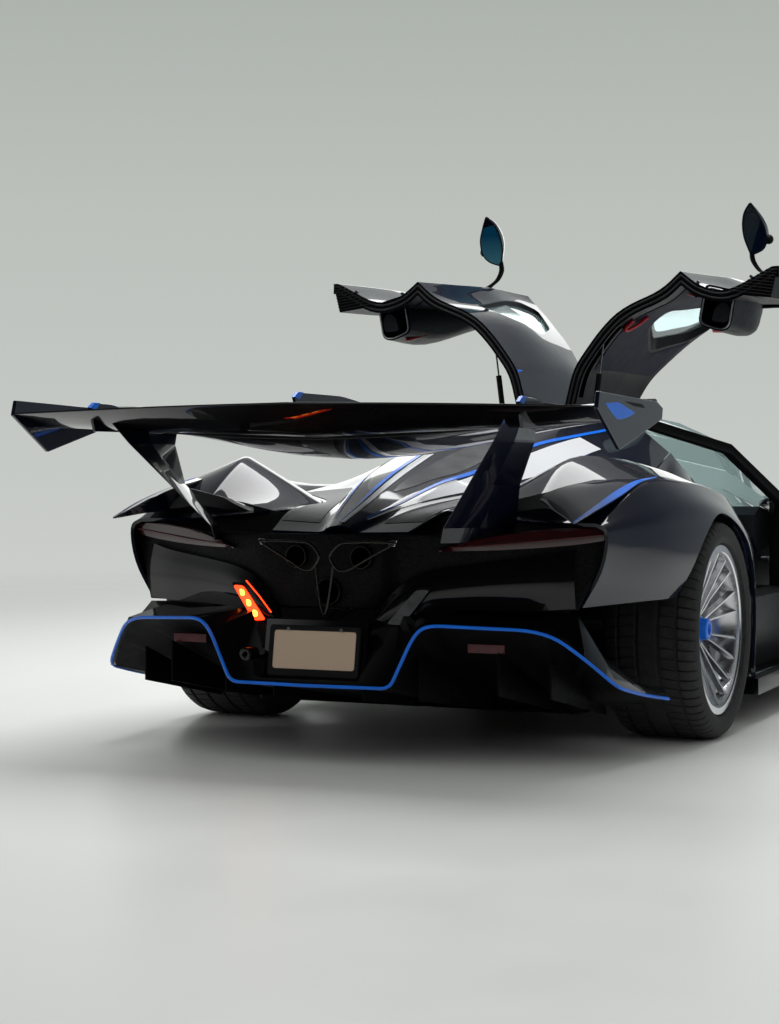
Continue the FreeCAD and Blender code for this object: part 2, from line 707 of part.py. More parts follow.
# The hoop behind the doors, from the top out and down, then back up its inner side.
# Columns: y, z.
HOOP_OUTLINE = [
    (0, 1130), (200, 1098), (390, 1026), (490, 936), (560, 818), (602, 735), (602, FLOOR + 30),
    (562, FLOOR + 30), (562, 735), (522, 800), (452, 900), (362, 980), (190, 1022), (0, 1050),
]
HOOP_X = rx(850)
HOOP_THICK = 60


PILLAR_FOOT = (fx(-430), sy(580), 520)
DOOR_POST = ((fx(-475), TUB_FRONT), (sy(560), sy(640)), (FLOOR + 150, 755))  # x, y and z ranges
# The pocket in the spine for a hinge: inward and outward of the hinge line, clearance at its
# ends, and heights.
HINGE_POCKET_IN, HINGE_POCKET_OUT, HINGE_POCKET_END = 22, 5, 5
HINGE_POCKET_Z = (1090, 1200)
HINGE_ARM_IN = 30  # hinge line in to the end of a knuckle's arm
HINGE_ARM_DROP, HINGE_ARM_RISE = 8, 6


def square_ring(x, y, z):
    """A pillar's section at a point of its middle line."""
    corners = [(-1, -1), (1, -1), (1, 1), (-1, 1)]
    return [(x, y + a * PILLAR_HALF, z + b * PILLAR_HALF) for a, b in corners]


def make_pillar():
    """The left pillar beside the windshield, down to the cowl."""
    upper = solid_loft([square_ring(*at(*point)) for point in PILLAR_LINE])
    lower = solid_loft([square_ring(*at(*PILLAR_LINE[-1])), square_ring(*PILLAR_FOOT)])
    return fuse([upper, lower, block(*DOOR_POST)])


def hinge_knuckles(x, sign):
    """One hinge's pin, and the knuckles and arms that hold it on the frame."""
    y = sign * d.hinge_offset
    arm_y = sorted((y, y - sign * HINGE_ARM_IN))
    arm_z = (d.hinge_height - HINGE_ARM_DROP, d.hinge_height + HINGE_ARM_RISE)
    pieces = [along_x(HINGE_PIN, 2 * HINGE_HALF, x - HINGE_HALF, y, d.hinge_height)]
    for start in (x - HINGE_HALF, x + HINGE_HALF - KNUCKLE_WIDTH):
        pieces.append(along_x(HINGE_KNUCKLE, KNUCKLE_WIDTH, start, y, d.hinge_height))
        pieces.append(block((start, start + KNUCKLE_WIDTH), arm_y, arm_z))
    return pieces


def make_roof_frame(cutters):
    """Spine, header, pillars and hoop."""
    front_x = rx(PILLAR_LINE[0][0])
    spine_outline = [
        (-SPINE_HALF, SPINE_LOW), (SPINE_HALF, SPINE_LOW), (SPINE_HALF, SPINE_EDGE), (0, SPINE_CREST),
        (-SPINE_HALF, SPINE_EDGE),
    ]
    spine = prism([(SPINE_REAR, y, z) for y, z in spine_outline], (front_x + 10 - SPINE_REAR, 0, 0))
    hoop = prism([(HOOP_X, sy(y), z) for y, z in HOOP_OUTLINE], (HOOP_THICK, 0, 0))
    pillar = make_pillar()
    frame = fuse([spine, hoop, mirrored(hoop), pillar, mirrored(pillar)])
    hinges = []
    for x in HINGE_STATIONS:
        for sign in (1, -1):
            inner, outer_y = d.hinge_offset - HINGE_POCKET_IN, d.hinge_offset + HINGE_POCKET_OUT
            reach = HINGE_HALF + HINGE_POCKET_END
            frame = frame.cut(
                block((x - reach, x + reach), sorted((sign * inner, sign * outer_y)), HINGE_POCKET_Z)
            )
            hinges += hinge_knuckles(x, sign)
    frame = fuse([frame] + hinges)
    for cutter in cutters:
        frame = frame.cut(cutter)
    return frame


# The rear frame's rails, on the left. Columns: rear x from the rear axle, front x, inner y, outer
# y, low z, high z.
REAR_RAILS = [
    (-520, 745, 290, 330, 230, 300), (-760, -500, 290, 330, 230, 720), (-1010, -700, 290, 330, 560, 600),
    (300, 380, 250, 300, 230, 300), (-420, -360, 180, 300, 230, 300),
]
# Its ribs, from the middle out and round the skins' inner side. Columns: y, z.
FRONT_RIB = [
    (620, FLOOR), (955, 180), (962, 430), (944, 640), (852, 790), (622, 811), (556, 860), (394, 975),
    (186, 1065), (0, 1086),
]
BACK_RIB = [
    (330, 200), (640, 500), (885, 500), (930, 600), (925, 730), (848, 825), (600, 925), (300, 774),
    (205, 788), (130, 862), (0, 872),
]
TAIL_RIB = [
    (310, 590), (700, 560), (780, 600), (790, 700), (780, 745), (650, 835), (282, 752), (130, 744),
    (84, 772), (0, 778),
]
RIB_THICK = 14
# What is cut out of the ribs for the side intake, the engine and the gearbox: x, y and z ranges.
INTAKE_DUCT = ((rx(400), rx(480)), (640, 2 * d.half_width), (395, 700))
ENGINE_BAY = ((rx(400), rx(460)), (-280, 280), (150, 800))
GEARBOX_BAY = ((rx(-470), rx(-440)), (-280, 280), (150, 700))


def rear_rib(x, low_z, outline):
    """A full-width rib up to the inside of the skins."""
    full = [(0, low_z)] + outline + [(-y, z) for y, z in outline[::-1]]
    return prism([at(x, y, z) for y, z in full], (RIB_THICK, 0, 0))


def make_rear_frame(cutters):
    """The rails behind the tub, and the ribs that carry the rear bodywork."""
    rails = [block((rx(x0), rx(x1)), (y0, y1), (z0, z1)) for x0, x1, y0, y1, z0, z1 in REAR_RAILS]
    ribs = [rear_rib(436, FLOOR, FRONT_RIB), rear_rib(-462, 200, BACK_RIB), rear_rib(-735, 590, TAIL_RIB)]
    frame = fuse(rails + [mirrored(rail) for rail in rails] + ribs)
    frame = frame.cut(arch_cutter("rear")).cut(mirrored(arch_cutter("rear")))
    duct = block(*INTAKE_DUCT)
    frame = frame.cut(duct).cut(mirrored(duct)).cut(block(*ENGINE_BAY)).cut(block(*GEARBOX_BAY))
    for cutter in cutters:
        frame = frame.cut(cutter)
    return frame


tub = make_tub()
add_shape("tub", tub)

# The undertray joins the splitter to the tunnels. Columns: x from the rear axle, y.
UNDERTRAY_EDGE = [
    (TUNNEL_FRONT, 575), (-330, 600), (420, 600), (470, 790), (2270, 790), (2300, 470), (3140, 470),
    (3170, 780),
]
undertray_ring = UNDERTRAY_EDGE + [(x, -y) for x, y in UNDERTRAY_EDGE[::-1]]
undertray = prism([at(x, y, d.ride_height) for x, y in undertray_ring], (0, 0, FLOOR - d.ride_height))
add_shape("undertray", undertray)

# The splitter. Columns: x from the front axle, y.
SPLITTER_EDGE = [(470, 955), (700, 960), (900, 940), (985, 800), (1040, 420), (d.front_overhang, 0)]
splitter_ring = SPLITTER_EDGE + [(x, -y) for x, y in SPLITTER_EDGE[-2::-1]]
splitter = prism([at_front(x, y, d.ride_height) for x, y in splitter_ring], (0, 0, FLOOR - d.ride_height))
add_shape("splitter", splitter)

# The skirts under the doors. Columns: x from the rear axle, y.
SKIRT_EDGE = [(462, 972), (900, 955), (2000, 948), (2295, 968), (2295, 900), (462, 900)]
SKIRT_HIGH = 60
SKIRT_SHELF = ((rx(462), fx(-405)), (sy(780), sy(905)))  # x and y ranges
skirt = prism([at(x, y, d.ride_height) for x, y in SKIRT_EDGE], (0, 0, SKIRT_HIGH))
shelf = block(*SKIRT_SHELF, (d.ride_height, FLOOR))
skirt_pair = both_sides(fuse([skirt, shelf.cut(undertray)]))
add_shape("side_skirts", skirt_pair)

# ---------------------------------------------------------------- front bodywork

# The front fenders. Columns: x from the front axle, then (inset from the widest point, z) of the
# bonnet edge, the crown's foot, the crown, the blade line, the flank, the widest line, the lower
# lip.
FRONT_FENDER_TABLE = [
    (-522, (352, 786), (342, 792), (312, 800), (262, 740), (300, 560), (237, 400), (242, 165)),
    (-380, (480, 770), (400, 786), (270, 800), (160, 745), (95, 600), (50, 450), (52, 165)),
    (-200, (557, 752), (380, 778), (240, 792), (100, 740), (40, 620), (34, 470), (40, 380)),
    (0, (567, 722), (370, 764), (220, 784), (80, 728), (26, 640), (20, 500), (25, 420)),
    (350, (577, 625), (360, 682), (210, 702), (90, 645), (35, 550), (30, 420), (40, 330)),
    (700, (597, 485), (350, 512), (220, 522), (120, 482), (70, 420), (60, 340), (70, 120)),
    (985, (617, 335), (350, 347), (240, 347), (160, 332), (120, 300), (110, 260), (120, 120)),
]

# The bonnet, as half sections. Columns: x from the front axle, (y, z) at the middle, between,
# and at the fender.
BONNET_TABLE = [
    (118, (0, 728), (220, 716), (417, 696)),
    (350, (0, 652), (210, 642), (410, 620)),
    (700, (0, 520), (200, 508), (392, 482)),
    (985, (0, 382), (180, 366), (372, 334)),
]
# The nose's lower and upper edges in plan, half from the outside in. Columns: x from the front
# axle, y.
NOSE_LOW = [(905, 868), (1000, 690), (1042, 380), (1050, 0)]
NOSE_HIGH = [(990, 862), (992, 640), (994, 372), (1000, 0)]
NOSE_HIGH_Z = 300
NOSE_LOW_THICK, NOSE_HIGH_THICK = 60, 40
NOSE_BACK = 0.96  # how much narrower the nose's inner side is
# Its intakes, each from one y to another.
NOSE_INTAKES = [(-760, -430), (-300, 300), (430, 760)]
INTAKE_TOP = 255


def bonnet_section(row):
    """The bonnet's closed section."""
    x, *half = row
    under = inward(half, d.panel_thick)
    under[0] = (0, half[0][1] - d.panel_thick)
    ring = half + under[::-1] + [(-y, z) for y, z in under[1:]] + [(-y, z) for y, z in half[:0:-1]]
    return [at_front(x, y, z) for y, z in ring]


# Headlights: a slim lens let into each fender's crown. Columns: x from the front axle, inset, z.
LAMP_FRONT = [(880, 175, 330), (880, 300, 345), (880, 300, 425), (880, 175, 400)]
LAMP_REAR = [(560, 150, 520), (560, 215, 545), (560, 215, 612), (560, 150, 590)]
headlight = solid_loft([
    [(fx(x), outer(inset), z) for x, inset, z in ring] for ring in (LAMP_FRONT, LAMP_REAR)
])
# The fender's rear corner from above, cut away for the door. Columns: x from the rear axle, y.
DOOR_CLEARANCE = [(2100, 560), (2172, 678), (2210, 678), (2210, 560)]
DOOR_CLEARANCE_Z = (600, 900)


def make_front_fender():
    """The left front fender, from the door to the nose."""
    stations = [
        (fx(row[0]), [(outer(inset), z) for inset, z in row[1:]]) for row in FRONT_FENDER_TABLE
    ]
    panel = shell(stations, d.panel_thick).cut(arch_cutter("front"))
    low, high = DOOR_CLEARANCE_Z
    door_clearance = prism([at(x, y, low) for x, y in DOOR_CLEARANCE], (0, 0, high - low))
    return largest(panel.cut(door_clearance).cut(headlight))


def make_front_bumper():
    """The nose below the bonnet: a beam on four posts, with an intake between each pair."""
    rings = []
    for line, z, thick in ((NOSE_LOW, FLOOR, NOSE_LOW_THICK), (NOSE_HIGH, NOSE_HIGH_Z, NOSE_HIGH_THICK)):
        full = line + [(x, -y) for x, y in line[-2::-1]]
        back = [(x - thick, y * NOSE_BACK) for x, y in full[::-1]]
        rings.append([at_front(x, y, z) for x, y in full + back])
    bumper = solid_loft(rings)
    reach = (fx(NOSE_LOW[0][0] - 100), fx(NOSE_LOW[-1][0] + 100))
    width = (-2 * d.half_width, 2 * d.half_width)
    beam = bumper.common(block(reach, width, (INTAKE_TOP, 2 * INTAKE_TOP)))
    posts = bumper.common(block(reach, width, (0, INTAKE_TOP)))
    for y0, y1 in NOSE_INTAKES:
        posts = posts.cut(block(reach, (sy(y0), sy(y1)), (0, INTAKE_TOP + 1)))
    return [beam, with_tow_eye(posts, TOW_FRONT, 1)]


# The front frame's ribs, behind and ahead of a front wheel. Columns: y, z.
RIB_BEHIND = [
    (700, FLOOR), (935, FLOOR), (935, 450), (900, 600), (850, 720), (700, 780), (500, 765), (470, 500)
]
RIB_AHEAD = [
    (400, FLOOR), (925, FLOOR), (930, 400), (920, 520), (870, 620), (770, 670), (640, 650), (400, 590)
]
# The rest of it: x, y and z ranges.
NOSE_PLATE = ((fx(440), fx(960)), (-LEG_HALF, LEG_HALF), (FLOOR, FLOOR + 30))
NOSE_POST = ((fx(880), fx(960)), (-60, 60), (FLOOR, 400))
CROSS_WALL = ((LEG_FRONT, LEG_FRONT + RIB_THICK), (-LEG_HALF, LEG_HALF), (300, 480))
NOSE_RAIL = ((fx(432), fx(960)), (400, LEG_HALF), (FLOOR, 330))


def make_front_frame(cutters):
    """Ribs ahead of and behind the front wheels, which carry the fenders and the nose."""
    pieces = [
        prism([at_front(-445, y, z) for y, z in RIB_BEHIND], (30, 0, 0)),
        prism([at_front(432, y, z) for y, z in RIB_AHEAD], (RIB_THICK, 0, 0)),
        block(*NOSE_RAIL),
    ]
    middle = [block(*NOSE_PLATE), block(*NOSE_POST), block(*CROSS_WALL)]
    frame = fuse(middle + pieces + [mirrored(piece) for piece in pieces])
    for cutter in cutters:
        frame = frame.cut(cutter)
    return frame


bonnet = solid_loft([bonnet_section(row) for row in BONNET_TABLE])
front_fender = make_front_fender().cut(tub)
front_bumper = []
for section in make_front_bumper():
    for cutter in (bonnet, front_fender, mirrored(front_fender)):
        section = section.cut(cutter)
    front_bumper += section.Solids
front_bumper = Part.makeCompound(front_bumper)
add_shape("bonnet", bonnet)
add_shape("front_bumper", front_bumper)
add_shape("headlights", both_sides(headlight))

# ---------------------------------------------------------------- glass and doors

# The windshield, as half sections. Columns: x from the rear axle, (y, z) at the middle, between,
# and at the pillar.
WINDSHIELD_TABLE = [
    (1702, (0, 1158), (30, 1156), (d.hinge_offset - 27, 1150)),
    (1965, (0, 1128), (230, 1098), (424, 1012)),
    (2160, (0, 1068), (330, 985), (590, 800)),
    (2400, (0, 968), (320, 895), (520, 760)),
    (2600, (0, 860), (250, 810), (410, 728)),
    (2800, (0, 742), (200, 732), (400, 712)),
]


def windshield_section(row):
    """The windshield's closed section."""
    x, *half = row
    under = [(y * (1 - d.glass_thick / DRAWN_HALF_WIDTH), z - d.glass_thick) for y, z in half]
    ring = half + under[::-1] + [(-y, z) for y, z in under[1:]] + [(-y, z) for y, z in half[:0:-1]]
    return [at(x, y, z) for y, z in ring]


windshield = solid_loft([windshield_section(row) for row in WINDSHIELD_TABLE])
add_shape("windshield", windshield)
front_fender = largest(front_fender.cut(windshield))
add_shape("front_fenders", both_sides(front_fender))

# A door's sections shut, from the hinge edge down to the sill. Columns: x from the rear axle,
# then (y, z) of the hinge edge, roof rail, shoulder, upper glass line, lower glass line, crest,
# waist, scoop, rocker and tip.
DOOR_HINGE_Y = d.hinge_offset + d.shut_gap
DOOR_TABLE = [
    (930, (DOOR_HINGE_Y, 1148), (239, 1138), (400, 1060), (500, 985), (588, 840), (672, 776),
     (624, 690), (616, 585), (737, 428), (742, 404)),
    (1350, (DOOR_HINGE_Y, 1148), (245, 1144), (405, 1072), (505, 998), (600, 855), (690, 784),
     (640, 690), (630, 585), (750, 428), (755, 404)),
    (1680, (DOOR_HINGE_Y, 1148), (245, 1136), (410, 1052), (528, 960), (640, 845), (705, 786),
     (664, 690), (655, 585), (755, 428), (758, 404)),
    (2166, (150, 1080), (245, 1070), (420, 1010), (560, 902), (655, 815), (705, 786), (690, 690),
     (685, 585), (752, 428), (754, 404)),
]
# The pillar's side of the shut line in plan. Columns: x from the rear axle, y.
DOOR_FRONT_CUT = [(1600, -10), (1662, d.hinge_offset + 2), (1950, 484), (2180, 660), (2180, -10)]
# The window's outline from the side. Columns: x from the rear axle, z.
WINDOW_OUTLINE = [(1235, 885), (1330, 990), (1560, 1040), (1850, 978), (2060, 860), (1900, 838)]
WINDOW_DEPTH = 14  # outer skin in to the glass
GLASS_LINES = 5  # points of a door's section from the hinge edge to the lower glass line
# The deep pod inside the door, above the sill. Columns: x from the rear axle, then (y, z) of its
# top inside, its lower inside and its outside corners.
POD_TABLE = [
    (985, (482, 690), (465, 600), (482, 560), (630, 560), (640, 690)),
    (1320, (482, 700), (465, 600), (482, 556), (640, 556), (650, 700)),
    (1700, (560, 730), (530, 690), (550, 640), (670, 640), (690, 730)),
]
# A hinge's leaf on the door, its y and z ranges, and the gap beside its knuckle.
LEAF_Y = (d.hinge_offset + 4, d.hinge_offset + 32)
LEAF_Z = (d.hinge_height - 16, d.hinge_height - 4)
LEAF_GAP = 3
# The door's gas strut, in the plane of one station. Its foot is on the hoop and its eye is at a
# stud in the door's edge.
STRUT_X = DOOR_REAR + 34
STRUT_FOOT = (187, 1087)
STRUT_EYE_SHUT = (383, 1048)
STRUT_RADIUS = 11
STRUT_ROD_RADIUS = 4
STRUT_BORE = 4.6
STRUT_BODY = 186
STRUT_ROD_INSIDE = 174
EYE_HALF = 8
EYE_RADIUS = 9
FOOT_EYE_RADIUS = 12
STUD_RADIUS = 6
CHANNEL_SKIN = 6  # what the strut's channel leaves of the door's outer skin
CHANNEL_DROP = 110
CHANNEL_REAR, CHANNEL_FRONT = STRUT_X - 18, STRUT_X + 24


def window_prism(shrink):
    """The window's outline pushed through the door, smaller by a seal's width."""
    face = Part.Face(wire_of([(rx(x), 200, z) for x, z in WINDOW_OUTLINE]))
    if shrink:
        face = face.makeOffset2D(-shrink)
    return face.extrude(Vector(0, d.half_width, 0))


def door_profile(row):
    """A door station's x and its outer section."""
    x, *profile = row
    return rx(x), [(sy(y), z) for y, z in profile]


def rocker_section(row):
    """The door's closed lower edge, which stands over the sill."""
    x, profile = door_profile(row)
    (scoop_y, scoop_z), (edge_y, edge_z), (tip_y, tip_z) = profile[-3:]
    corners = [
        (scoop_y - 4, scoop_z), (edge_y - 4, edge_z), (tip_y - 4, tip_z), (scoop_y + 4, tip_z + 8)
    ]
    return [(x, y, z) for y, z in corners]


def strut_channel():
    """The room for the shut strut in the door's inner side, under its outer skin."""
    _, profile = door_profile(DOOR_TABLE[0])
    *roof, corner = inward(profile[:4], CHANNEL_SKIN)
    roof.append(((roof[-1][0] + corner[0]) / 2, (roof[-1][1] + corner[1]) / 2))
    ring = roof + [(y, z - CHANNEL_DROP) for y, z in reversed(roof)]
    return prism([(CHANNEL_REAR, y, z) for y, z in ring], (CHANNEL_FRONT - CHANNEL_REAR, 0, 0))


def make_door():
    """The left door shut, with its hinge knuckles, its pod and the strut's stud."""
    rings = []
    for x, profile in map(door_profile, DOOR_TABLE):
        inner = inward(profile, d.door_thick)
        rings.append([(x, y, z) for y, z in profile + inner[::-1]])
    front_cut = prism([at(x, y, 600) for x, y in DOOR_FRONT_CUT], (0, 0, 700))
    door = solid_loft(rings).cut(front_cut).cut(window_prism(0))
    pod = solid_loft([[at(x, y, z) for y, z in corners] for x, *corners in POD_TABLE])
    rocker = solid_loft([rocker_section(row) for row in DOOR_TABLE[:-1]])
    stud_start = STRUT_X + EYE_HALF + FIT
    stud = along_x(STUD_RADIUS, CHANNEL_FRONT + 10 - stud_start, stud_start, *STRUT_EYE_SHUT)
    door = fuse([door.cut(strut_channel()), pod, rocker, stud])
    hinge_line = (d.hinge_offset, d.hinge_height)
    reach = HINGE_HALF + HINGE_POCKET_END
    for x in HINGE_STATIONS:
        door = door.cut(along_x(HINGE_KNUCKLE + d.shut_gap, 2 * reach, x - reach, *hinge_line))
    pieces = [door]
    length = 2 * (HINGE_HALF - KNUCKLE_WIDTH - LEAF_GAP)
    for x in HINGE_STATIONS:
        pieces.append(along_x(HINGE_KNUCKLE, length, x - length / 2, *hinge_line))
        pieces.append(block((x - length / 2, x + length / 2), LEAF_Y, LEAF_Z))
    door = fuse(pieces)
    for x in HINGE_STATIONS:
        door = door.cut(along_x(HINGE_PIN + FIT, 2 * reach + 10, x - reach - 5, *hinge_line))
    return door


def make_window():
    """The left door's glass, inside its seal."""
    stations = []
    for x, profile in map(door_profile, DOOR_TABLE):
        line = inward(profile[:GLASS_LINES + 1], WINDOW_DEPTH)
        stations.append([(x, y, z) for y, z in line + inward(line, d.glass_thick)[::-1]])
    return solid_loft(stations).common(window_prism(FIT))


def opened(y, z):
    """Where a point of the left door goes when the door opens."""
    angle = math.radians(d.door_open)
    y, z = y - d.hinge_offset, z - d.hinge_height
    turned_y = y * math.cos(angle) - z * math.sin(angle)
    turned_z = y * math.sin(angle) + z * math.cos(angle)
    return turned_y + d.hinge_offset, turned_z + d.hinge_height


STRUT_EYE = opened(*STRUT_EYE_SHUT)
STRUT_LENGTH = math.hypot(STRUT_EYE[0] - STRUT_FOOT[0], STRUT_EYE[1] - STRUT_FOOT[1])


def strut_point(distance):
    """A point along the open strut from its foot."""
    share = distance / STRUT_LENGTH
    dy, dz = STRUT_EYE[0] - STRUT_FOOT[0], STRUT_EYE[1] - STRUT_FOOT[1]
    return (STRUT_X, STRUT_FOOT[0] + dy * share, STRUT_FOOT[1] + dz * share)


def eye(y, z, radius):
    """A strut's eye around a pin along X."""
    return along_x(radius, 2 * EYE_HALF, STRUT_X - EYE_HALF, y, z)


def make_strut_cylinder():
    """The strut's cylinder, bored for its rod and its foot's pin."""
    barrel = rod(strut_point(EYE_HALF), strut_point(STRUT_BODY), STRUT_RADIUS)
    cylinder = fuse([barrel, eye(*STRUT_FOOT, FOOT_EYE_RADIUS)])
    bore = rod(strut_point(20), strut_point(STRUT_BODY + 5), STRUT_BORE)
    pin_hole = along_x(HINGE_PIN + FIT, 40, STRUT_X - 20, *STRUT_FOOT)
    return cylinder.cut(bore).cut(pin_hole)


def make_strut_rod():
    """The strut's rod with its eye."""
    shaft = rod(strut_point(STRUT_ROD_INSIDE), strut_point(STRUT_LENGTH), STRUT_ROD_RADIUS)
    return fuse([shaft, eye(*STRUT_EYE, EYE_RADIUS)])


# A door mirror, shut. Its wedge and stalk run out from the door. Columns: x from the rear axle,
# y, z, then half the section's depth and half its height.
MIRROR_STALK = [
    (1895, 645, 632, 90, 40), (1905, 690, 655, 78, 34), (1915, 735, 690, 32, 20),
    (1920, 765, 745, 13, 12), (1912, 800, 775, 11, 11), (1898, 838, 784, 9, 9),
]
# The head's middle line runs from its root to its tip, turned to face the driver.
MIRROR_ROOT = Vector(*at(1901, 818, 781))
MIRROR_TIP = Vector(*at(1782, 1026, 793))
# Its sections. Columns: share of the line, rise above it, drop below it, depth ahead of the glass.
MIRROR_HEAD = [
    (0.03, 4, 8, 14), (0.13, 13, 49, 52), (0.27, 26, 68, 84), (0.40, 34, 68, 92), (0.60, 38, 60, 78),
    (0.82, 29, 30, 44), (1.00, 4, 4, 10),
]
MIRROR_KNOB = 20


def make_mirror():
    """The left mirror: a wedge and stalk, the head, and the round knob under it."""
    rings = []
    for x, y, z, deep, high in MIRROR_STALK:
        angles = [math.pi * (i + 0.5) / 4 for i in range(8)]
        px, py, _ = at(x, y, z)
        rings.append([(px + deep * math.cos(a), py, z + high * math.sin(a)) for a in angles])
    line = MIRROR_TIP - MIRROR_ROOT
    ahead = Vector(line.y, -line.x, 0).normalize()
    up = Vector(0, 0, 1)
    head = []
    for share, rise, drop, depth in MIRROR_HEAD:
        middle = MIRROR_ROOT + line * share
        corners = [
            (0, rise), (0.6, 0.85 * rise), (1, 0.3 * (rise - drop)), (0.6, -0.85 * drop), (0, -drop)
        ]
        head.append([tuple(middle + ahead * (depth * a) + up * b) for a, b in corners])
    knob = Part.makeSphere(MIRROR_KNOB, MIRROR_ROOT + line * 0.36 + ahead * 30 - up * 66)
    return fuse([solid_loft(rings), solid_loft(head), knob])


def on_side(shape, side):
    """A left part, or its mirror image for the car's right side."""
    return shape if side == "left" else mirrored(shape)


def open_pose(shape, side):
    """A left door part as it stands open, on either side of the car."""
    hinge = (0, d.hinge_offset, d.hinge_height)
    return on_side(turned(shape, hinge, (1, 0, 0), d.door_open), side)


door = make_door()
mirror = largest(make_mirror().cut(door))
window = make_window()
for side in ("left", "right"):
    add_shape(f"door_{side}", open_pose(door, side))
    add_shape(f"door_window_{side}", open_pose(window, side))
    add_shape(f"mirror_{side}", open_pose(mirror, side))
    add_shape(f"strut_cylinder_{side}", on_side(make_strut_cylinder(), side))
    add_shape(f"strut_rod_{side}", on_side(make_strut_rod(), side))

bodywork = [engine_cover, rear_fender, mirrored(rear_fender), windshield]
roof_frame = largest(make_roof_frame(bodywork + [tub]))
pin_start = HOOP_X + HOOP_THICK - 5
strut_pin = along_x(HINGE_PIN, STRUT_X + EYE_HALF + 4 - pin_start, pin_start, *STRUT_FOOT)
roof_frame = fuse([roof_frame, strut_pin, mirrored(strut_pin)])
add_shape("roof_frame", roof_frame)
front_skins = [front_fender, mirrored(front_fender), bonnet, front_bumper, tub, undertray, splitter]
add_shape("front_frame", largest(make_front_frame(front_skins)))

# ---------------------------------------------------------------- tail lights, plate, exhaust

# A tail light's bar, half from the outside in. Columns: x from the rear axle, y, low z, high z,
# depth.
TAIL_LIGHT_TABLE = [
    (-742, 868, 684, 716, 26), (-800, 700, 680, 712, 26), (-925, 445, 668, 690, 22),
    (-966, 352, 664, 676, 18),
]
lamp_rings = []
for x, y, low, high, deep in TAIL_LIGHT_TABLE:
    back = rx(x) - 8
    corners = [(back, 0, low), (back, 0, high), (back + deep, -6, high), (back + deep, -6, low)]
    lamp_rings.append([(corner_x, sy(y) + dy, z) for corner_x, dy, z in corners])
tail_light = largest(solid_loft(lamp_rings).cut(fascia).cut(rear_fender))
add_shape("tail_lights", both_sides(tail_light))

# An indicator's slanted strip. Columns: y, z.
INDICATOR_OUTLINE = [(352, 528), (322, 528), (226, 420), (262, 420)]
indicator = prism([(rx(-1075), y, z) for y, z in INDICATOR_OUTLINE], (110, 0, 0))
indicator_seat = indicator.cut(rear_bumper).cut(fascia)
add_shape("indicators", both_sides(max(indicator_seat.Solids, key=lambda solid: -solid.CenterOfMass.x)))

plate = doc.addObject("Part::Box", "number_plate")
plate.Label = "number_plate"
plate.Length = PLATE_THICK
bind(plate, Width="dims.plate_width", Height="dims.plate_height")
plate.Placement = Placement(
    Vector(PLATE_FOOT[0], -d.plate_width / 2, PLATE_FOOT[1]), Rotation(Vector(0, 1, 0), PLATE_TILT)
)
doc.recompute()
nodes.append(plate)

pipes = []
around_pipes = []
for y, z, radius in EXHAUST_TUBES:
    outer_pipe = along_x(radius, EXHAUST_LENGTH, EXHAUST_MOUTH, y, z)
    bore = along_x(radius - EXHAUST_WALL, EXHAUST_LENGTH - 6, EXHAUST_MOUTH, y, z)
    pipes.append(outer_pipe.cut(bore))
    around_pipes.append(along_x(radius + 3, EXHAUST_LENGTH, EXHAUST_MOUTH, y, z))
silencer = block(*SILENCER)
add_shape("exhaust", fuse(pipes + [silencer]))

frame_cutters = bodywork + [tub, fascia, undertray, diffuser, rear_bumper, silencer, tail_light]
frame_cutters += around_pipes + [mirrored(tail_light)]
rear_frame = largest(make_rear_frame(frame_cutters))
add_shape("rear_frame", rear_frame)

# ---------------------------------------------------------------- wing

# The wing's main plane, as half sections from the middle out. Columns: y, nose x from the rear
# axle, tail x, underside z at a third of the chord, tail z, thickness.
WING_TABLE = [
    (0, -540, -1085, 925, 990, 46), (230, -545, -1090, 942, 996, 46),
    (480, -560, -1098, 985, 1010, 44), (700, -590, -1104, 1022, 1026, 40),
    (880, -640, -1110, 1040, 1034, 34), (d.wing_half_span, -700, -1112, 1046, 1036, 28),
]
# The flap behind it. Columns: y, nose x, tail x, nose z, tail z, thickness.
FLAP_TABLE = [
    (0, -1060, -d.rear_overhang, 1000, 1100, 22), (480, -1072, -1303, 1018, 1092, 21),
    (d.wing_half_span, -1092, -1300, 1040, 1078, 18),
]


def main_plane_section(y, nose, tail, low_z, tail_z, thick):
    """One section of the main plane: its nose, back and curved underside."""
    chord = nose - tail
    nose_z = low_z + thick + 30
    outline = [
        (nose, nose_z), (nose - chord * 0.06, nose_z + 12), (nose - chord * 0.4, low_z + thick + 16),
        (tail, tail_z + 8), (tail, tail_z), (nose - chord * 0.72, low_z + 16),
        (nose - chord * 0.4, low_z), (nose - chord * 0.1, low_z + 22),
    ]
    return [(rx(x), y, z) for x, z in outline]


def flap_section(y, nose, tail, nose_z, tail_z, thick):
    """One section of the flap."""
    chord = nose - tail
    outline = [
        (nose, nose_z + 4), (nose - chord * 0.15, nose_z + 22), (tail, tail_z), (tail, tail_z - 5),
        (nose - chord * 0.4, nose_z + 14 - thick * 0.5), (nose - chord * 0.1, nose_z - 6),
    ]
    return [(rx(x), y, z) for x, z in outline]


def spanned(table, section):
    """A surface from one end plate to the other."""
    rows = [section(*row) for row in table[::-1]]
    rows += [[(x, -y, z) for x, y, z in section(*row)] for row in table[1:]]
    return solid_loft(rows)


main_plane = spanned(WING_TABLE, main_plane_section)
flap = spanned(FLAP_TABLE, flap_section)
# The brackets that hold the flap, above both.
SLOT_BRACKET = [
    (-1000, 1010), (-1000, 1060), (-1150, 1082), (-1220, 1084), (-1220, 1060), (-1080, 1012)
]
BRACKET_PLACES = (-600, 0, 600)
BRACKET_THICK = 8
slot_brackets = [
    prism([(rx(x), y - BRACKET_THICK / 2, z) for x, z in SLOT_BRACKET], (0, BRACKET_THICK, 0))
    for y in BRACKET_PLACES
]
wing = fuse([main_plane, flap] + slot_brackets)
add_shape("wing", wing)

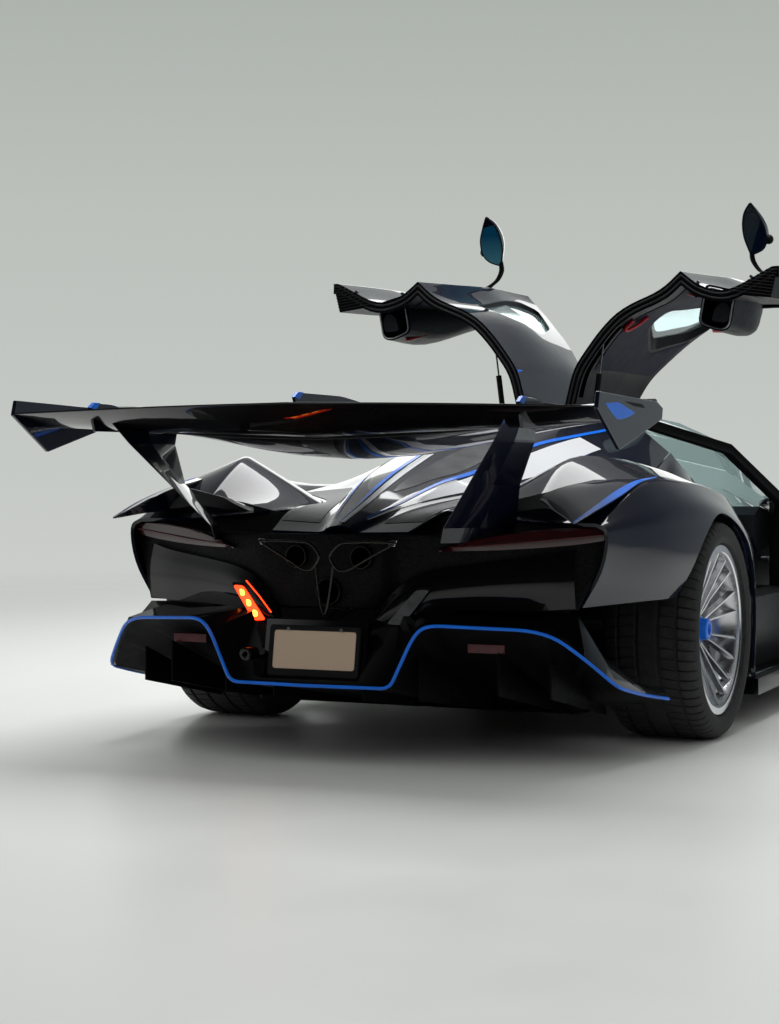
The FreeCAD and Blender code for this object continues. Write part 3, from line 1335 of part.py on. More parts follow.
# An end plate from the side. Columns: x from the rear axle, z.
END_PLATE_OUTLINE = [
    (-1302, 1070), (-1288, 1118), (-748, 1104), (-690, 1086), (-700, 1050), (-1104, 955)
]
end_plate = prism(
    [(rx(x), d.wing_half_span, z) for x, z in END_PLATE_OUTLINE], (0, d.end_plate_thick, 0)
)
add_shape("wing_end_plates", both_sides(end_plate))

# A pylon, leaning out and back, its foot toed out. Columns: rear x from the rear axle, rear y,
# front x, front y, z.
PYLON_TABLE = [
    (-1030, 388, -756, 508, 676), (-1037, 400, -760, 526, 721), (-1107, 509, -880, 585, 852),
    (-1175, 616, -871, 628, 980), (-1205, 663, -850, 628, 1050),
]
pylon_rings = []
for rear_x, rear_y, front_x, front_y, z in PYLON_TABLE:
    rear = Vector(rx(rear_x), sy(rear_y), z)
    front = Vector(rx(front_x), sy(front_y), z)
    across = (front - rear).cross(Vector(0, 0, 1)).normalize() * (d.pylon_thick / 2)
    middle = (rear + front) / 2
    pylon_rings.append([tuple(p) for p in (rear, middle - across, front, middle + across)])
pylon = solid_loft(pylon_rings).cut(wing).cut(rear_fender).cut(fascia).cut(tail_light)
add_shape("wing_pylons", both_sides(largest(pylon)))

# ---------------------------------------------------------------- engine and running gear

ENGINE_HALF = 250


def plain_box(name, sides, corner):
    """A box that stands in for a casting."""
    box = doc.addObject("Part::Box", name)
    box.Length, box.Width, box.Height = sides
    box.Placement = Placement(Vector(*corner), Rotation())
    return box


engine_block = plain_box("engine_block", (700, 2 * ENGINE_HALF, 480), (rx(-20), -ENGINE_HALF, 190))
gearbox = plain_box("gearbox", (450, 360, 300), (rx(-460), -180, 210))
engine = doc.addObject("Part::Fuse", "engine")
engine.Base, engine.Tool = engine_block, gearbox
engine.Label = "engine"
doc.recompute()
nodes.append(engine)

UPRIGHT_LOW, UPRIGHT_HIGH = 200, 490  # heights of the lower and upper wishbones
JOINT_HALF = 22  # half the height of a wishbone's outer joint


def ring_sector(x, y_low, y_high, z, r_in, r_out, centre_angle, span):
    """Part of a ring about a wheel's axis, measured from straight ahead and up."""
    outline = []
    steps = 6
    for radius, order in ((r_out, range(steps + 1)), (r_in, range(steps, -1, -1))):
        for i in order:
            angle = math.radians(centre_angle - span / 2 + span * i / steps)
            outline.append((x + radius * math.cos(angle), y_low, z + radius * math.sin(angle)))
    return prism(outline, (0, y_high - y_low, 0))


def make_upright(axle):
    """A left upright with its spindle and brake caliper."""
    x = {"rear": REAR_X, "front": FRONT_X}[axle]
    middle = {"rear": REAR_WHEEL_Y, "front": FRONT_WHEEL_Y}[axle]
    axle_z = getattr(d, f"{axle}_tyre_radius")
    disc = getattr(d, f"{axle}_disc_radius")
    post_y = middle - KINGPIN_IN
    disc_face = middle - DISC_THICK / 2
    low_z = UPRIGHT_LOW + JOINT_HALF + FIT
    post = Part.makeCylinder(24, UPRIGHT_HIGH - JOINT_HALF - FIT - low_z, Vector(x, post_y, low_z))
    spindle = Part.makeCylinder(44, disc_face - FIT - post_y, Vector(x, post_y, axle_z), Vector(0, 1, 0))
    slot = DISC_THICK / 2 + 5
    arm = ring_sector(x, middle - 44, middle - 24, axle_z, 20, disc + 26, 0, 34)
    caliper = ring_sector(x, middle - 44, middle + 42, axle_z, disc - 75, disc + 26, 0, 60)
    gap = ring_sector(x, middle - slot, middle + slot, axle_z, 0, disc + 5, 0, 90)
    return fuse([post, spindle, arm, caliper.cut(gap)])


def make_wishbones(axle, inner_y):
    """The left wishbones, from the chassis to the upright's ends."""
    x = {"rear": REAR_X, "front": FRONT_X}[axle]
    middle = {"rear": REAR_WHEEL_Y, "front": FRONT_WHEEL_Y}[axle]
    post_y = middle - KINGPIN_IN
    arms = []
    for z in (UPRIGHT_LOW, UPRIGHT_HIGH):
        joint = Part.makeCylinder(26, 2 * JOINT_HALF, Vector(x, post_y, z - JOINT_HALF))
        legs = [rod((x + sign * 110, inner_y, z), (x, post_y, z), 13) for sign in (1, -1)]
        arms.append(fuse([joint] + legs))
    return arms


front_arms = [arm.cut(tub) for arm in make_wishbones("front", LEG_HALF - 10)]
add_shape("front_wishbones", Part.makeCompound(front_arms + [mirrored(arm) for arm in front_arms]))
rear_arms = make_wishbones("rear", 330)
braces = [rod((rx(sign * 110), 335, 235), (rx(sign * 110), 335, 500), 14) for sign in (1, -1)]
rear_linkage = largest(fuse(rear_arms + braces).cut(rear_frame))
axle_z = d.rear_tyre_radius
shaft_end = REAR_WHEEL_Y - KINGPIN_IN - 24
drive_shaft = rod((REAR_X, ENGINE_HALF + FIT, axle_z), (REAR_X, shaft_end, axle_z), 18)
rear_pieces = [rear_linkage, make_upright("rear"), drive_shaft]
add_shape("rear_suspension", Part.makeCompound(rear_pieces + [mirrored(piece) for piece in rear_pieces]))
front_upright = make_upright("front")
add_shape("steering_knuckle_left", front_upright)
add_shape("steering_knuckle_right", mirrored(front_upright))

# ---------------------------------------------------------------- cabin

SEAT_Y = 268
SEAT_HALF = 190
SEAT_FLOOR = FLOOR + 40
# A seat from the side: its front, cushion, back and shell. Columns: x from the rear axle, z.
SEAT_CUSHION = [
    (1010, SEAT_FLOOR), (1560, SEAT_FLOOR), (1585, 300), (1540, 330), (1150, 262), (1100, 290)
]
SEAT_BACK = [
    (1100, 230), (1190, 270), (1020, 640), (930, 880), (880, 900), (838, 880), (880, 640), (960, 330),
    (1000, 230),
]
SEAT_BOLSTER = [
    (1010, SEAT_FLOOR), (1500, SEAT_FLOOR), (1480, 380), (1230, 400), (1120, 640), (990, 700), (930, 640),
    (980, 330),
]
BOLSTER_WIDTH = 40
BACK_INSET = 25  # how much narrower the back is than the cushion, each side


def make_seat():
    """The left bucket seat: a shell with side bolsters around a cushion and a back."""
    low, high = SEAT_Y - SEAT_HALF, SEAT_Y + SEAT_HALF
    # Columns: outline, y where it starts, width.
    slabs = [
        (SEAT_CUSHION, low, high - low), (SEAT_BACK, low + BACK_INSET, high - low - 2 * BACK_INSET),
        (SEAT_BOLSTER, low, BOLSTER_WIDTH), (SEAT_BOLSTER, high - BOLSTER_WIDTH, BOLSTER_WIDTH),
    ]
    return fuse([
        prism([(rx(x), start, z) for x, z in outline], (0, width, 0)) for outline, start, width in slabs
    ])


seat = make_seat()
add_shape("seats", both_sides(seat))

# Dashboard and console. Columns: x from the rear axle, z.
DASH_OUTLINE = [(2120, 600), (2150, 700), (2240, 735), (2480, 700), (2480, 560), (2200, 540)]
DASH_HALF = 515
CONSOLE_OUTLINE = [
    (1000, SEAT_FLOOR), (2300, SEAT_FLOOR), (2300, 560), (2180, 600), (1980, 430), (1000, 380)
]
CONSOLE_HALF = 78
dash = fuse([
    prism([(rx(x), -half, z) for x, z in outline], (0, 2 * half, 0))
    for outline, half in ((DASH_OUTLINE, DASH_HALF), (CONSOLE_OUTLINE, CONSOLE_HALF))
])
for cutter in (tub, windshield, roof_frame):
    dash = dash.cut(cutter)
dash = largest(dash)
add_shape("dashboard", dash)

STEERING_Y = SEAT_Y
COLUMN_TILT = 22
WHEEL_X, WHEEL_Z = rx(1880), 690
WHEEL_RADIUS = 165
WHEEL_GRIP = 15
BOSS_RADIUS, BOSS_DROP = 42, 45
COLUMN_RADIUS, COLUMN_LENGTH = 34, 420
SPOKE_HALF = 16


def tilted(shape):
    """A steering part made about an upright axis, tilted back to face the driver."""
    shape.rotate(Vector(0, 0, 0), Vector(0, 1, 0), -(90 - COLUMN_TILT))
    shape.translate(Vector(WHEEL_X, STEERING_Y, WHEEL_Z))
    return shape


rim_ring = Part.makeTorus(WHEEL_RADIUS, WHEEL_GRIP)
hub_boss = Part.makeCylinder(BOSS_RADIUS, BOSS_DROP + 5, Vector(0, 0, -BOSS_DROP))
spoke = block((0, WHEEL_RADIUS - WHEEL_GRIP / 2), (-SPOKE_HALF, SPOKE_HALF), (-12, 0))
spokes = [turned(spoke, (0, 0, 0), (0, 0, 1), angle) for angle in (90, 180, 270)]
add_shape("steering_wheel", tilted(fuse([rim_ring, hub_boss] + spokes)))
column_foot = Vector(0, 0, -BOSS_DROP - FIT - COLUMN_LENGTH)
column = tilted(Part.makeCylinder(COLUMN_RADIUS, COLUMN_LENGTH, column_foot))
add_shape("steering_column", column.cut(dash).cut(tub))

doc.recompute()
for obj in nodes:
    faults = {"Invalid", "Error"} & set(obj.State)
    if faults or obj.Shape.isNull() or not obj.Shape.isValid():
        raise RuntimeError(f"{obj.Label} did not build: {faults or 'bad shape'}")

os.makedirs("parts", exist_ok=True)
for obj in nodes:
    obj.Shape.exportStep(f"parts/{obj.Label}.step")
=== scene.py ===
"""The looks of the hypercar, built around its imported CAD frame."""
import json
from math import ceil, copysign, cos, pi, radians, sin

import bmesh
import bpy
from mathutils import Matrix, Vector
from mathutils.bvhtree import BVHTree


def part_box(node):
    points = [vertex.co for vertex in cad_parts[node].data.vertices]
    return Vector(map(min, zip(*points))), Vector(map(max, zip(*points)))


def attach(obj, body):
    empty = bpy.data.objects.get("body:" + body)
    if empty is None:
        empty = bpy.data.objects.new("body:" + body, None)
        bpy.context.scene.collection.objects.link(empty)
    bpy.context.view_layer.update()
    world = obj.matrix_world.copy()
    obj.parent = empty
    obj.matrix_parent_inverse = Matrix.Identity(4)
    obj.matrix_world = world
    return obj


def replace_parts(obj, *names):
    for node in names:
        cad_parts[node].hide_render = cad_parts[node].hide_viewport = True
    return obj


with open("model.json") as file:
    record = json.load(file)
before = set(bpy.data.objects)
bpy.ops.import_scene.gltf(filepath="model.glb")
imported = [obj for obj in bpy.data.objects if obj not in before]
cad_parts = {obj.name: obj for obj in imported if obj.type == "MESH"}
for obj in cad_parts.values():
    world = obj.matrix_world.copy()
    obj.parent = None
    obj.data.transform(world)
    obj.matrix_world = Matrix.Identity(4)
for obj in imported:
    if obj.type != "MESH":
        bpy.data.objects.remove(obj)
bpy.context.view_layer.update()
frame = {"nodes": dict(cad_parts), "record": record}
NODES = frame["nodes"]
BODY_OF = {node: body for body, nodes in frame["record"]["behaviour"]["bodies"].items() for node in nodes}
SCENE = bpy.context.scene
SIDES = (("left", 1), ("right", -1))
UP = Vector((0, 0, 1))


# ---------------------------------------------------------------- materials

def new_material(name, colour, rough=0.5, metal=0.0, coat=0.0, coat_rough=0.05, **more):
    """A material with its shader, ready for more nodes. Plain numbers sit on the shader itself."""
    mat = bpy.data.materials.new(name)
    mat.use_nodes = True
    values = {
        "Base Color": (*colour, 1), "Roughness": rough, "Metallic": metal, "Coat Weight": coat,
        "Coat Roughness": coat_rough, "Specular IOR Level": 0.25 if coat else 0.5,
        **{key.replace("_", " "): value for key, value in more.items()},
    }
    for key, value in values.items():
        shader_of(mat).inputs[key].default_value = value
    return mat


def shader_of(mat):
    return mat.node_tree.nodes["Principled BSDF"]


def feed(mat, source, into):
    """Joins a socket to one of the shader's."""
    mat.node_tree.links.new(source, shader_of(mat).inputs[into])


def add(owner, kind, *numbered, **named):
    """Adds a node and returns its outputs. A value goes to the input of that number or name, with __ for a
    space, and what is no input is a property. A socket is linked."""
    node = owner.node_tree.nodes.new("ShaderNode" + kind)
    for key, value in (*enumerate(numbered), *named.items()):
        if isinstance(key, str):
            key = key.replace("__", " ")
            if key not in node.inputs:
                setattr(node, key, value)
                continue
        if isinstance(value, bpy.types.NodeSocket):
            owner.node_tree.links.new(value, node.inputs[key])
        else:
            node.inputs[key].default_value = value
    return node.outputs


def coords(mat, turn=0.0):
    """Object coordinates, turned about z: a piece's mesh is in metres."""
    where = add(mat, "TexCoord")["Object"]
    return add(mat, "Mapping", Rotation=(0, 0, turn), Vector=where)["Vector"]


def bump_from(mat, height, strength, distance):
    """Feeds a height to the shader's normal."""
    feed(mat, add(mat, "Bump", Strength=strength, Distance=distance, Height=height)["Normal"], "Normal")


def ramp(owner, factor, stops):
    """The colour that a factor picks. Stops: place, colour."""
    colour = add(owner, "ValToRGB", Fac=factor)["Color"]
    elements = colour.node.color_ramp.elements
    while len(elements) < len(stops):
        elements.new(0.5)
    for element, (place, shade) in zip(elements, stops):
        element.position, element.color = place, (*shade, 1)
    return colour


def varied(mat, scale, low, high):
    """Roughness that wanders between two values, as handled surfaces do. Returns the noise behind it."""
    noise = add(mat, "TexNoise", Scale=scale, Detail=4.0, Vector=coords(mat))["Fac"]
    feed(mat, add(mat, "MapRange", To__Min=low, To__Max=high, Value=noise)["Result"], "Roughness")
    return noise


def shaded(mat, factor, dark, light, first=0.3, last=0.7):
    """A colour between two, picked by a factor."""
    feed(mat, ramp(mat, factor, [(first, dark), (last, light)]), "Base Color")


def spread_of(colour, share):
    """A darker and a lighter shade of a colour."""
    return tuple(c * (1 - share) for c in colour), tuple(c * (1 + share) for c in colour)


def make_woven(name, colour, rough, specular, coat, coat_rough, pitch, dark, light):
    """Carbon cloth under a clear coat: a twill in the colour and, faintly, in the surface."""
    mat = new_material(name, colour, rough, coat=coat, coat_rough=coat_rough, Specular_IOR_Level=specular)
    waves = [
        add(mat, "TexWave", Scale=1 / pitch, bands_direction="DIAGONAL", Vector=coords(mat, turn))["Fac"]
        for turn in (0, pi / 2)
    ]
    both = add(mat, "Math", *waves, operation="MULTIPLY")["Value"]
    shaded(mat, both, dark, light, 0.2, 0.8)
    bump_from(mat, both, 0.15, 0.0004)
    return mat


def make_grille():
    """A dark woven grille."""
    mat = new_material("grille", (0.003, 0.003, 0.0035), 0.6, Specular_IOR_Level=0.15)
    cells = add(mat, "TexVoronoi", Scale=120.0, Vector=coords(mat))["Distance"]
    shaded(mat, cells, (0.0008, 0.0008, 0.001), (0.005, 0.005, 0.006), 0.1, 0.6)
    bump_from(mat, cells, 0.6, 0.003)
    return mat


def make_wire_grille():
    """A pale wire grille over black."""
    mat = new_material("wire_grille", (0.05, 0.052, 0.055), 0.4, Specular_IOR_Level=0.6)
    brick = add(mat, "TexBrick", Scale=60.0, offset=0.5, Color1=(0.02, 0.02, 0.022, 1),
                Color2=(0.03, 0.03, 0.033, 1), Mortar=(0.22, 0.225, 0.23, 1), Mortar__Size=0.04,
                Vector=coords(mat))
    feed(mat, brick["Color"], "Base Color")
    bump_from(mat, brick["Fac"], 0.5, 0.002)
    return mat


def make_coated(name, colour, rough, coat, coat_rough, scale, low, high, shades=None):
    """A surface under a coat, its roughness and colour wandering a little."""
    mat = new_material(name, colour, rough, coat=coat, coat_rough=coat_rough)
    noise = varied(mat, scale, low, high)
    if shades:
        shaded(mat, noise, *shades)
    return mat


def make_satin(name, colour, low=0.4, high=0.6, specular=0.5):
    mat = new_material(name, colour, 0.5, Specular_IOR_Level=specular)
    bump_from(mat, varied(mat, 30, low, high), 0.1, 0.0006)
    return mat


def make_metal(name, colour, low, high, grain=60):
    mat = new_material(name, colour, low, metal=1.0)
    bump_from(mat, varied(mat, grain, low, high), 0.04, 0.0004)
    return mat


def make_rubber():
    mat = new_material("rubber", (0.018, 0.018, 0.019), 0.75)
    noise = varied(mat, 40, 0.62, 0.85)
    shaded(mat, noise, (0.012, 0.012, 0.013), (0.028, 0.028, 0.029), 0.3, 0.75)
    bump_from(mat, noise, 0.12, 0.001)
    return mat


def make_leather(name, colour):
    mat = new_material(name, colour, 0.55, Specular_IOR_Level=0.2)
    bump_from(mat, add(mat, "TexVoronoi", Scale=420.0, Vector=coords(mat))["Distance"], 0.25, 0.0008)
    shaded(mat, varied(mat, 20, 0.45, 0.62), *spread_of(colour, 0.25))
    return mat


def make_glass(name, colour):
    mat = new_material(name, colour, 0.03, Transmission_Weight=0.9, IOR=1.45)
    varied(mat, 8, 0.01, 0.04)
    return mat


def make_lens(name, colour, glow=None, strength=0.0):
    """A ribbed lens, lit when it has a glow."""
    mat = new_material(name, colour, 0.12, coat=1.0)
    bump_from(mat, add(mat, "TexWave", Scale=90.0, bands_direction="Y", Vector=coords(mat))["Fac"], 0.25, 0.001)
    noise = varied(mat, 25, 0.08, 0.2)
    if glow:
        shader_of(mat).inputs["Emission Color"].default_value = (*glow, 1)
        shader_of(mat).inputs["Emission Strength"].default_value = strength
    else:
        shaded(mat, noise, *spread_of(colour, 0.3))
    return mat


def make_mirror_reflection(name, top, low):
    """Mirror glass with a painted reflection: a tint that turns paler toward one edge."""
    mat = new_material(name, top, 0.1, coat=1.0, coat_rough=0.02)
    height = add(mat, "SeparateXYZ", add(mat, "TexCoord")["Generated"])["Z"]
    shaded(mat, height, low, top, 0.1, 0.75)
    return mat


# Every look, by what makes it, with the material's name and colour first.
LOOKS = {key: make(*values) for make, looks in (
    (make_grille, {"mesh": ()}),
    (make_wire_grille, {"grey_mesh": ()}),
    (make_rubber, {"rubber": ()}),
    (make_woven, {  # then roughness, specular, coat, coat roughness, pitch, dark, light
        "paint": ("paint", (0.004, 0.006, 0.018), 0.4, 0.1, 1.0, 0.02, 0.006,
                  (0.002, 0.003, 0.010), (0.007, 0.012, 0.036)),
        "carbon": ("carbon", (0.003, 0.003, 0.004), 0.35, 0.1, 0.5, 0.05, 0.005,
                   (0.001, 0.001, 0.0014), (0.005, 0.005, 0.007)),
        "gloss": ("gloss_black", (0.002, 0.002, 0.003), 0.4, 0.05, 0.8, 0.02, 0.005,
                  (0.001, 0.001, 0.0014), (0.004, 0.004, 0.006)),
    }),
    (make_glass, {"glass": ("clear_glass", (0.60, 0.78, 0.79))}),
    (make_coated, {  # then roughness, coat, coat roughness, noise scale, low, high, shades
        "blue": ("blue", (0.001, 0.15, 0.75), 0.35, 0.4, 0.06, 14, 0.28, 0.4,
                 ((0.0008, 0.13, 0.68), (0.002, 0.17, 0.85))),
        # White: painted highlights laid along the deck's crest and creases.
        "white": ("white_line", (0.75, 0.77, 0.8), 0.3, 1.0, 0.05, 14, 0.24, 0.36),
        "pane": ("smoked_pane", (0.02, 0.022, 0.026), 0.12, 1.0, 0.02, 10, 0.08, 0.2,
                 ((0.05, 0.052, 0.056), (0.10, 0.104, 0.11))),
    }),
    (make_satin, {  # then low and high roughness, specular
        "satin": ("satin_black", (0.006, 0.006, 0.008), 0.4, 0.6, 0.25),
        "tub": ("satin_carbon", (0.02, 0.02, 0.023), 0.35, 0.5),
        "steel": ("black_steel", (0.025, 0.025, 0.027), 0.35, 0.55),
        "dark": ("black_plastic", (0.004, 0.004, 0.005), 0.5, 0.7, 0.2),
        # Near-black with little sheen: plain black trim at the indicators; on the diffuser and undertray it is
        # painted shade, darker and duller than their own dark finish.
        "deep": ("deep_black", (0.0018, 0.0018, 0.0024), 0.45, 0.65, 0.1),
        "jamb": ("door_jamb", (0.002, 0.0024, 0.005), 0.3, 0.5, 0.15),
        "red": ("red_trim", (0.62, 0.012, 0.018), 0.3, 0.45),
        "plate": ("blank_plate", (0.50, 0.37, 0.27), 0.4, 0.55),
        "lens_edge": ("lens_edge", (0.10, 0.02, 0.025), 0.15, 0.25),
    }),
    (make_metal, {  # then low and high roughness, grain
        "rim": ("rim_metal", (0.78, 0.79, 0.81), 0.16, 0.3),
        "alloy": ("alloy", (0.42, 0.42, 0.44), 0.3, 0.5),
        "chrome": ("chrome", (0.72, 0.73, 0.75), 0.08, 0.16),
        "exhaust": ("exhaust_metal", (0.05, 0.046, 0.044), 0.3, 0.5),
        "disc": ("brake_disc", (0.3, 0.3, 0.31), 0.3, 0.45, 160),
        "trim_metal": ("trim_metal", (0.07, 0.066, 0.06), 0.2, 0.35),
    }),
    (make_leather, {
        "leather": ("blue_leather", (0.012, 0.022, 0.085)),
        "trim": ("dark_trim", (0.014, 0.015, 0.02)),
        "navy": ("navy_trim", (0.001, 0.005, 0.030)),
        "bright_navy": ("blue_trim", (0.004, 0.035, 0.16)),
    }),
    # Mirror glass with painted reflections: a pale lit copy for the left mirror and a painted-shade dark copy
    # for the right.
    (make_mirror_reflection, {
        "mirror": ("mirror_glass", (0.004, 0.12, 0.25), (0.12, 0.42, 0.55)),
        "mirror_shaded": ("mirror_glass_shaded", (0.001, 0.004, 0.018), (0.002, 0.012, 0.035)),
    }),
    (make_lens, {  # then the glow and its strength
        "red_lens": ("smoked_red_lens", (0.030, 0.0015, 0.003)),
        "bright_red": ("red_reflector", (0.10, 0.004, 0.012)),
        "grey_lens": ("clear_lens", (0.07, 0.072, 0.076)),
        "clear_lens": ("headlight_lens", (0.55, 0.58, 0.62)),
        "amber": ("lit_lens", (0.9, 0.06, 0.01), (1.0, 0.035, 0.006), 4.0),
        "hot": ("lit_core", (1.0, 0.4, 0.05), (1.0, 0.30, 0.03), 7.0),
    }),
) for key, values in looks.items()}


def pair(name):
    return [f"{name}_{side}" for side, _ in SIDES]


NODE_LOOK = {
    "paint": ["bonnet", "engine_cover", "front_fenders", "rear_fenders", "wing_end_plates", "wing_pylons",
              "wing", "front_bumper", "rear_bumper", "rear_fascia", *pair("door")],
    "carbon": ["side_skirts", "splitter", *pair("mirror")],
    # Painted shade under the car: the diffuser and undertray take the near-black, dull look.
    "deep": ["diffuser", "undertray"],
    "tub": ["tub"],
    "satin": ["roof_frame"],
    "steel": ["front_frame", "rear_frame"],
    "glass": ["windshield", *pair("door_window")],
    "rubber": [*pair("tyre_front"), *pair("tyre_rear")],
    "rim": [*pair("wheel_front"), *pair("wheel_rear")],
    "alloy": ["engine", "front_wishbones", "rear_suspension", *pair("steering_knuckle")],
    "exhaust": ["exhaust"],
    "trim": ["dashboard", "steering_wheel", "steering_column"],
    "leather": ["seats"],
    "dark": pair("strut_cylinder"),
    "chrome": pair("strut_rod"),
    "red_lens": ["tail_lights"],
    "grey_lens": ["indicators"],
    "plate": ["number_plate"],
    "clear_lens": ["headlights"],
}
for look, names in NODE_LOOK.items():
    for name in names:
        node = NODES[name]
        if not node.material_slots:
            node.data.materials.append(LOOKS[look])
        for material_slot in node.material_slots:
            material_slot.material = LOOKS[look]


# ---------------------------------------------------------------- pieces

def placed(name, data):
    """A new object in the scene."""
    obj = bpy.data.objects.new(name, data)
    SCENE.collection.objects.link(obj)
    return obj


def piece(name, mesh, look, body="root"):
    """A new object with its material, riding on a body."""
    obj = placed(name, mesh)
    mesh.materials.clear()
    mesh.materials.append(LOOKS[look])
    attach(obj, body)
    return obj


def finished(obj, angle, bevel=0.0):
    """Even shading up to an angle, and the edges past it rounded where a width is given."""
    for polygon in obj.data.polygons:
        polygon.use_smooth = True
    if bevel:
        edges = obj.modifiers.new("rounded", "BEVEL")
        edges.width, edges.segments = bevel, 2
        edges.limit_method, edges.angle_limit = "ANGLE", radians(angle)
        edges.harden_normals = edges.use_clamp_overlap = True
    else:
        obj.data.set_sharp_from_angle(angle=radians(angle))
    return obj


def refined(node, look=None, bevel=0.003):
    """A finer piece in place of a CAD node: its triangles joined, its edges rounded."""
    build = bmesh.new()
    build.from_mesh(NODES[node].data)
    bmesh.ops.remove_doubles(build, verts=build.verts, dist=0.00005)
    bmesh.ops.dissolve_limit(build, angle_limit=radians(1), verts=build.verts, edges=build.edges)
    mesh = bpy.data.meshes.new(node + "_skin")
    build.to_mesh(mesh)
    build.free()
    look = look or next(key for key, names in NODE_LOOK.items() if node in names)
    obj = finished(piece(node + "_skin", mesh, look, BODY_OF[node]), 30, bevel)
    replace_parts(obj, node)


# ---------------------------------------------------------------- studio

HEADING = Vector((0.90557, 0.4242, 0))  # the way the camera looks
RIGHT = Vector((HEADING.y, -HEADING.x, 0))
FLOOR_HALF = 60
FLOOR_FADE = (4.0, 11.0)  # where the floor starts to fade, and where it is gone
SENSOR = 36
FOCAL, SHIFT = 2123 / 1024, (23.6 / 1024, -43.6 / 1024)  # as shares of the picture's height


def area_light(name, place, target, size, power):
    data = bpy.data.lights.new(name, "AREA")
    data.shape = "RECTANGLE"
    data.size, data.size_y = size
    data.energy = power
    obj = placed(name, data)
    obj.location = place
    obj.rotation_euler = (Vector(target) - Vector(place)).to_track_quat("-Z", "Y").to_euler()


def make_world():
    """A pale backdrop to look at, walls ahead and beside to reflect, and a dark room behind the camera."""
    world = bpy.data.worlds.new("studio")
    SCENE.world = world
    world.use_nodes = True
    world.node_tree.nodes.clear()
    where, rays = add(world, "TexCoord")["Generated"], add(world, "LightPath")

    def along(way, *stops):
        """A colour that changes from one end of a direction, at 0, to the other, at 1."""
        reach = add(world, "VectorMath", where, way, operation="DOT_PRODUCT")["Value"]
        return ramp(world, add(world, "MapRange", From__Min=-1.0, Value=reach)["Result"], stops)

    def times(one, two):
        return add(world, "Mix", data_type="RGBA", blend_type="MULTIPLY", Factor=1.0, A=one, B=two)["Result"]

    def background(colour):
        return add(world, "Background", colour)[0]

    def by_ray(kind, others, these):
        """One background for a kind of ray, and another for the rest."""
        return add(world, "MixShader", rays[kind], others, these)[0]

    white = (1, 1, 1)
    walls = along(UP, (0.0, (0.40, 0.41, 0.39)), (0.5, (0.60, 0.63, 0.60)), (0.62, (0.56, 0.59, 0.56)),
                  (0.72, (0.22, 0.23, 0.23)), (1.0, (0.08, 0.08, 0.08)))
    room = along(HEADING, (0.0, (0.03, 0.03, 0.03)), (0.32, (0.06, 0.06, 0.06)), (0.52, white), (1.0, white))
    beside = along(RIGHT, (0.0, white), (0.60, white), (0.80, (0.42, 0.45, 0.50)), (1.0, (0.30, 0.33, 0.38)))
    seen = along(UP, (0.0, (0.62, 0.64, 0.61)), (0.47, (0.60, 0.62, 0.60)), (0.50, (0.56, 0.585, 0.56)),
                 (0.56, (0.50, 0.53, 0.50)), (0.62, (0.40, 0.43, 0.40)), (1.0, (0.40, 0.43, 0.40)))
    dim = along(UP, (0.0, (0.20, 0.20, 0.20)), (0.5, (0.07, 0.072, 0.075)), (0.60, (0.22, 0.225, 0.22)),
                (0.75, (0.70, 0.71, 0.70)), (1.0, (0.74, 0.75, 0.74)))
    reflected = background(times(times(walls, room), beside))
    lighting = by_ray("Is Diffuse Ray", reflected, background(dim))
    add(world, "OutputWorld", by_ray("Is Camera Ray", lighting, background(seen)))


def make_floor():
    """The floor, fading into the backdrop far from the car."""
    mesh = bpy.data.meshes.new("studio_floor")
    corners = [(x * FLOOR_HALF, y * FLOOR_HALF, 0) for x, y in ((-1, -1), (1, -1), (1, 1), (-1, 1))]
    mesh.from_pydata(corners, [], [(0, 1, 2, 3)])
    floor = placed("studio_floor", mesh)
    mat = new_material("studio_floor", (0.70, 0.71, 0.69), 0.4)
    varied(mat, 3, 0.3, 0.45)
    far = add(mat, "VectorMath", add(mat, "TexCoord")["Object"], operation="LENGTH")["Value"]
    fade = add(mat, "MapRange", far, *FLOOR_FADE, interpolation_type="SMOOTHSTEP")["Result"]
    mix = add(mat, "MixShader", fade, shader_of(mat).outputs[0], add(mat, "BsdfTransparent")[0])
    mat.node_tree.links.new(mix[0], mat.node_tree.nodes["Material Output"].inputs["Surface"])
    mesh.materials.append(mat)


def make_camera():
    """The photograph's place and lens, level, a little shifted."""
    data = bpy.data.cameras.new("camera")
    data.lens = FOCAL * SENSOR
    data.sensor_width = SENSOR
    data.shift_x, data.shift_y = SHIFT
    data.clip_end = 200
    camera = SCENE.camera = placed("camera", data)
    camera.location = (-8.150, -2.898, 0.902)
    camera.rotation_euler = HEADING.to_track_quat("-Z", "Y").to_euler()


# ---------------------------------------------------------------- shaping

MM = 0.001
REAR_X = -1.231  # the rear axle, metres
HALF_WIDTH = 997.5  # the fenders' widest point
CAR_MIDDLE_Z = 0.4  # panels thicken toward the middle line at this height


def p(x, y, z):
    """A point drawn from the rear axle, in millimetres."""
    return Vector((REAR_X + x * MM, y * MM, z * MM))


def drawn(corners):
    return [p(*corner) for corner in corners]


def shifted(points, x=0.0, y=0.0, z=0.0):
    """Points moved by metres."""
    return [v + Vector((x, y, z)) for v in points]


def flip(points):
    return [Vector((v.x, -v.y, v.z)) for v in points]


def on_side(rows, sign):
    """Rows drawn on the left, or their mirror image."""
    return rows if sign > 0 else [flip(row) for row in rows]


def turns_of(count, first=0):
    """Even angles around a circle."""
    return [2 * pi * (k + first) / count for k in range(count)]


def middle_of(points):
    return sum(points, Vector()) / len(points)


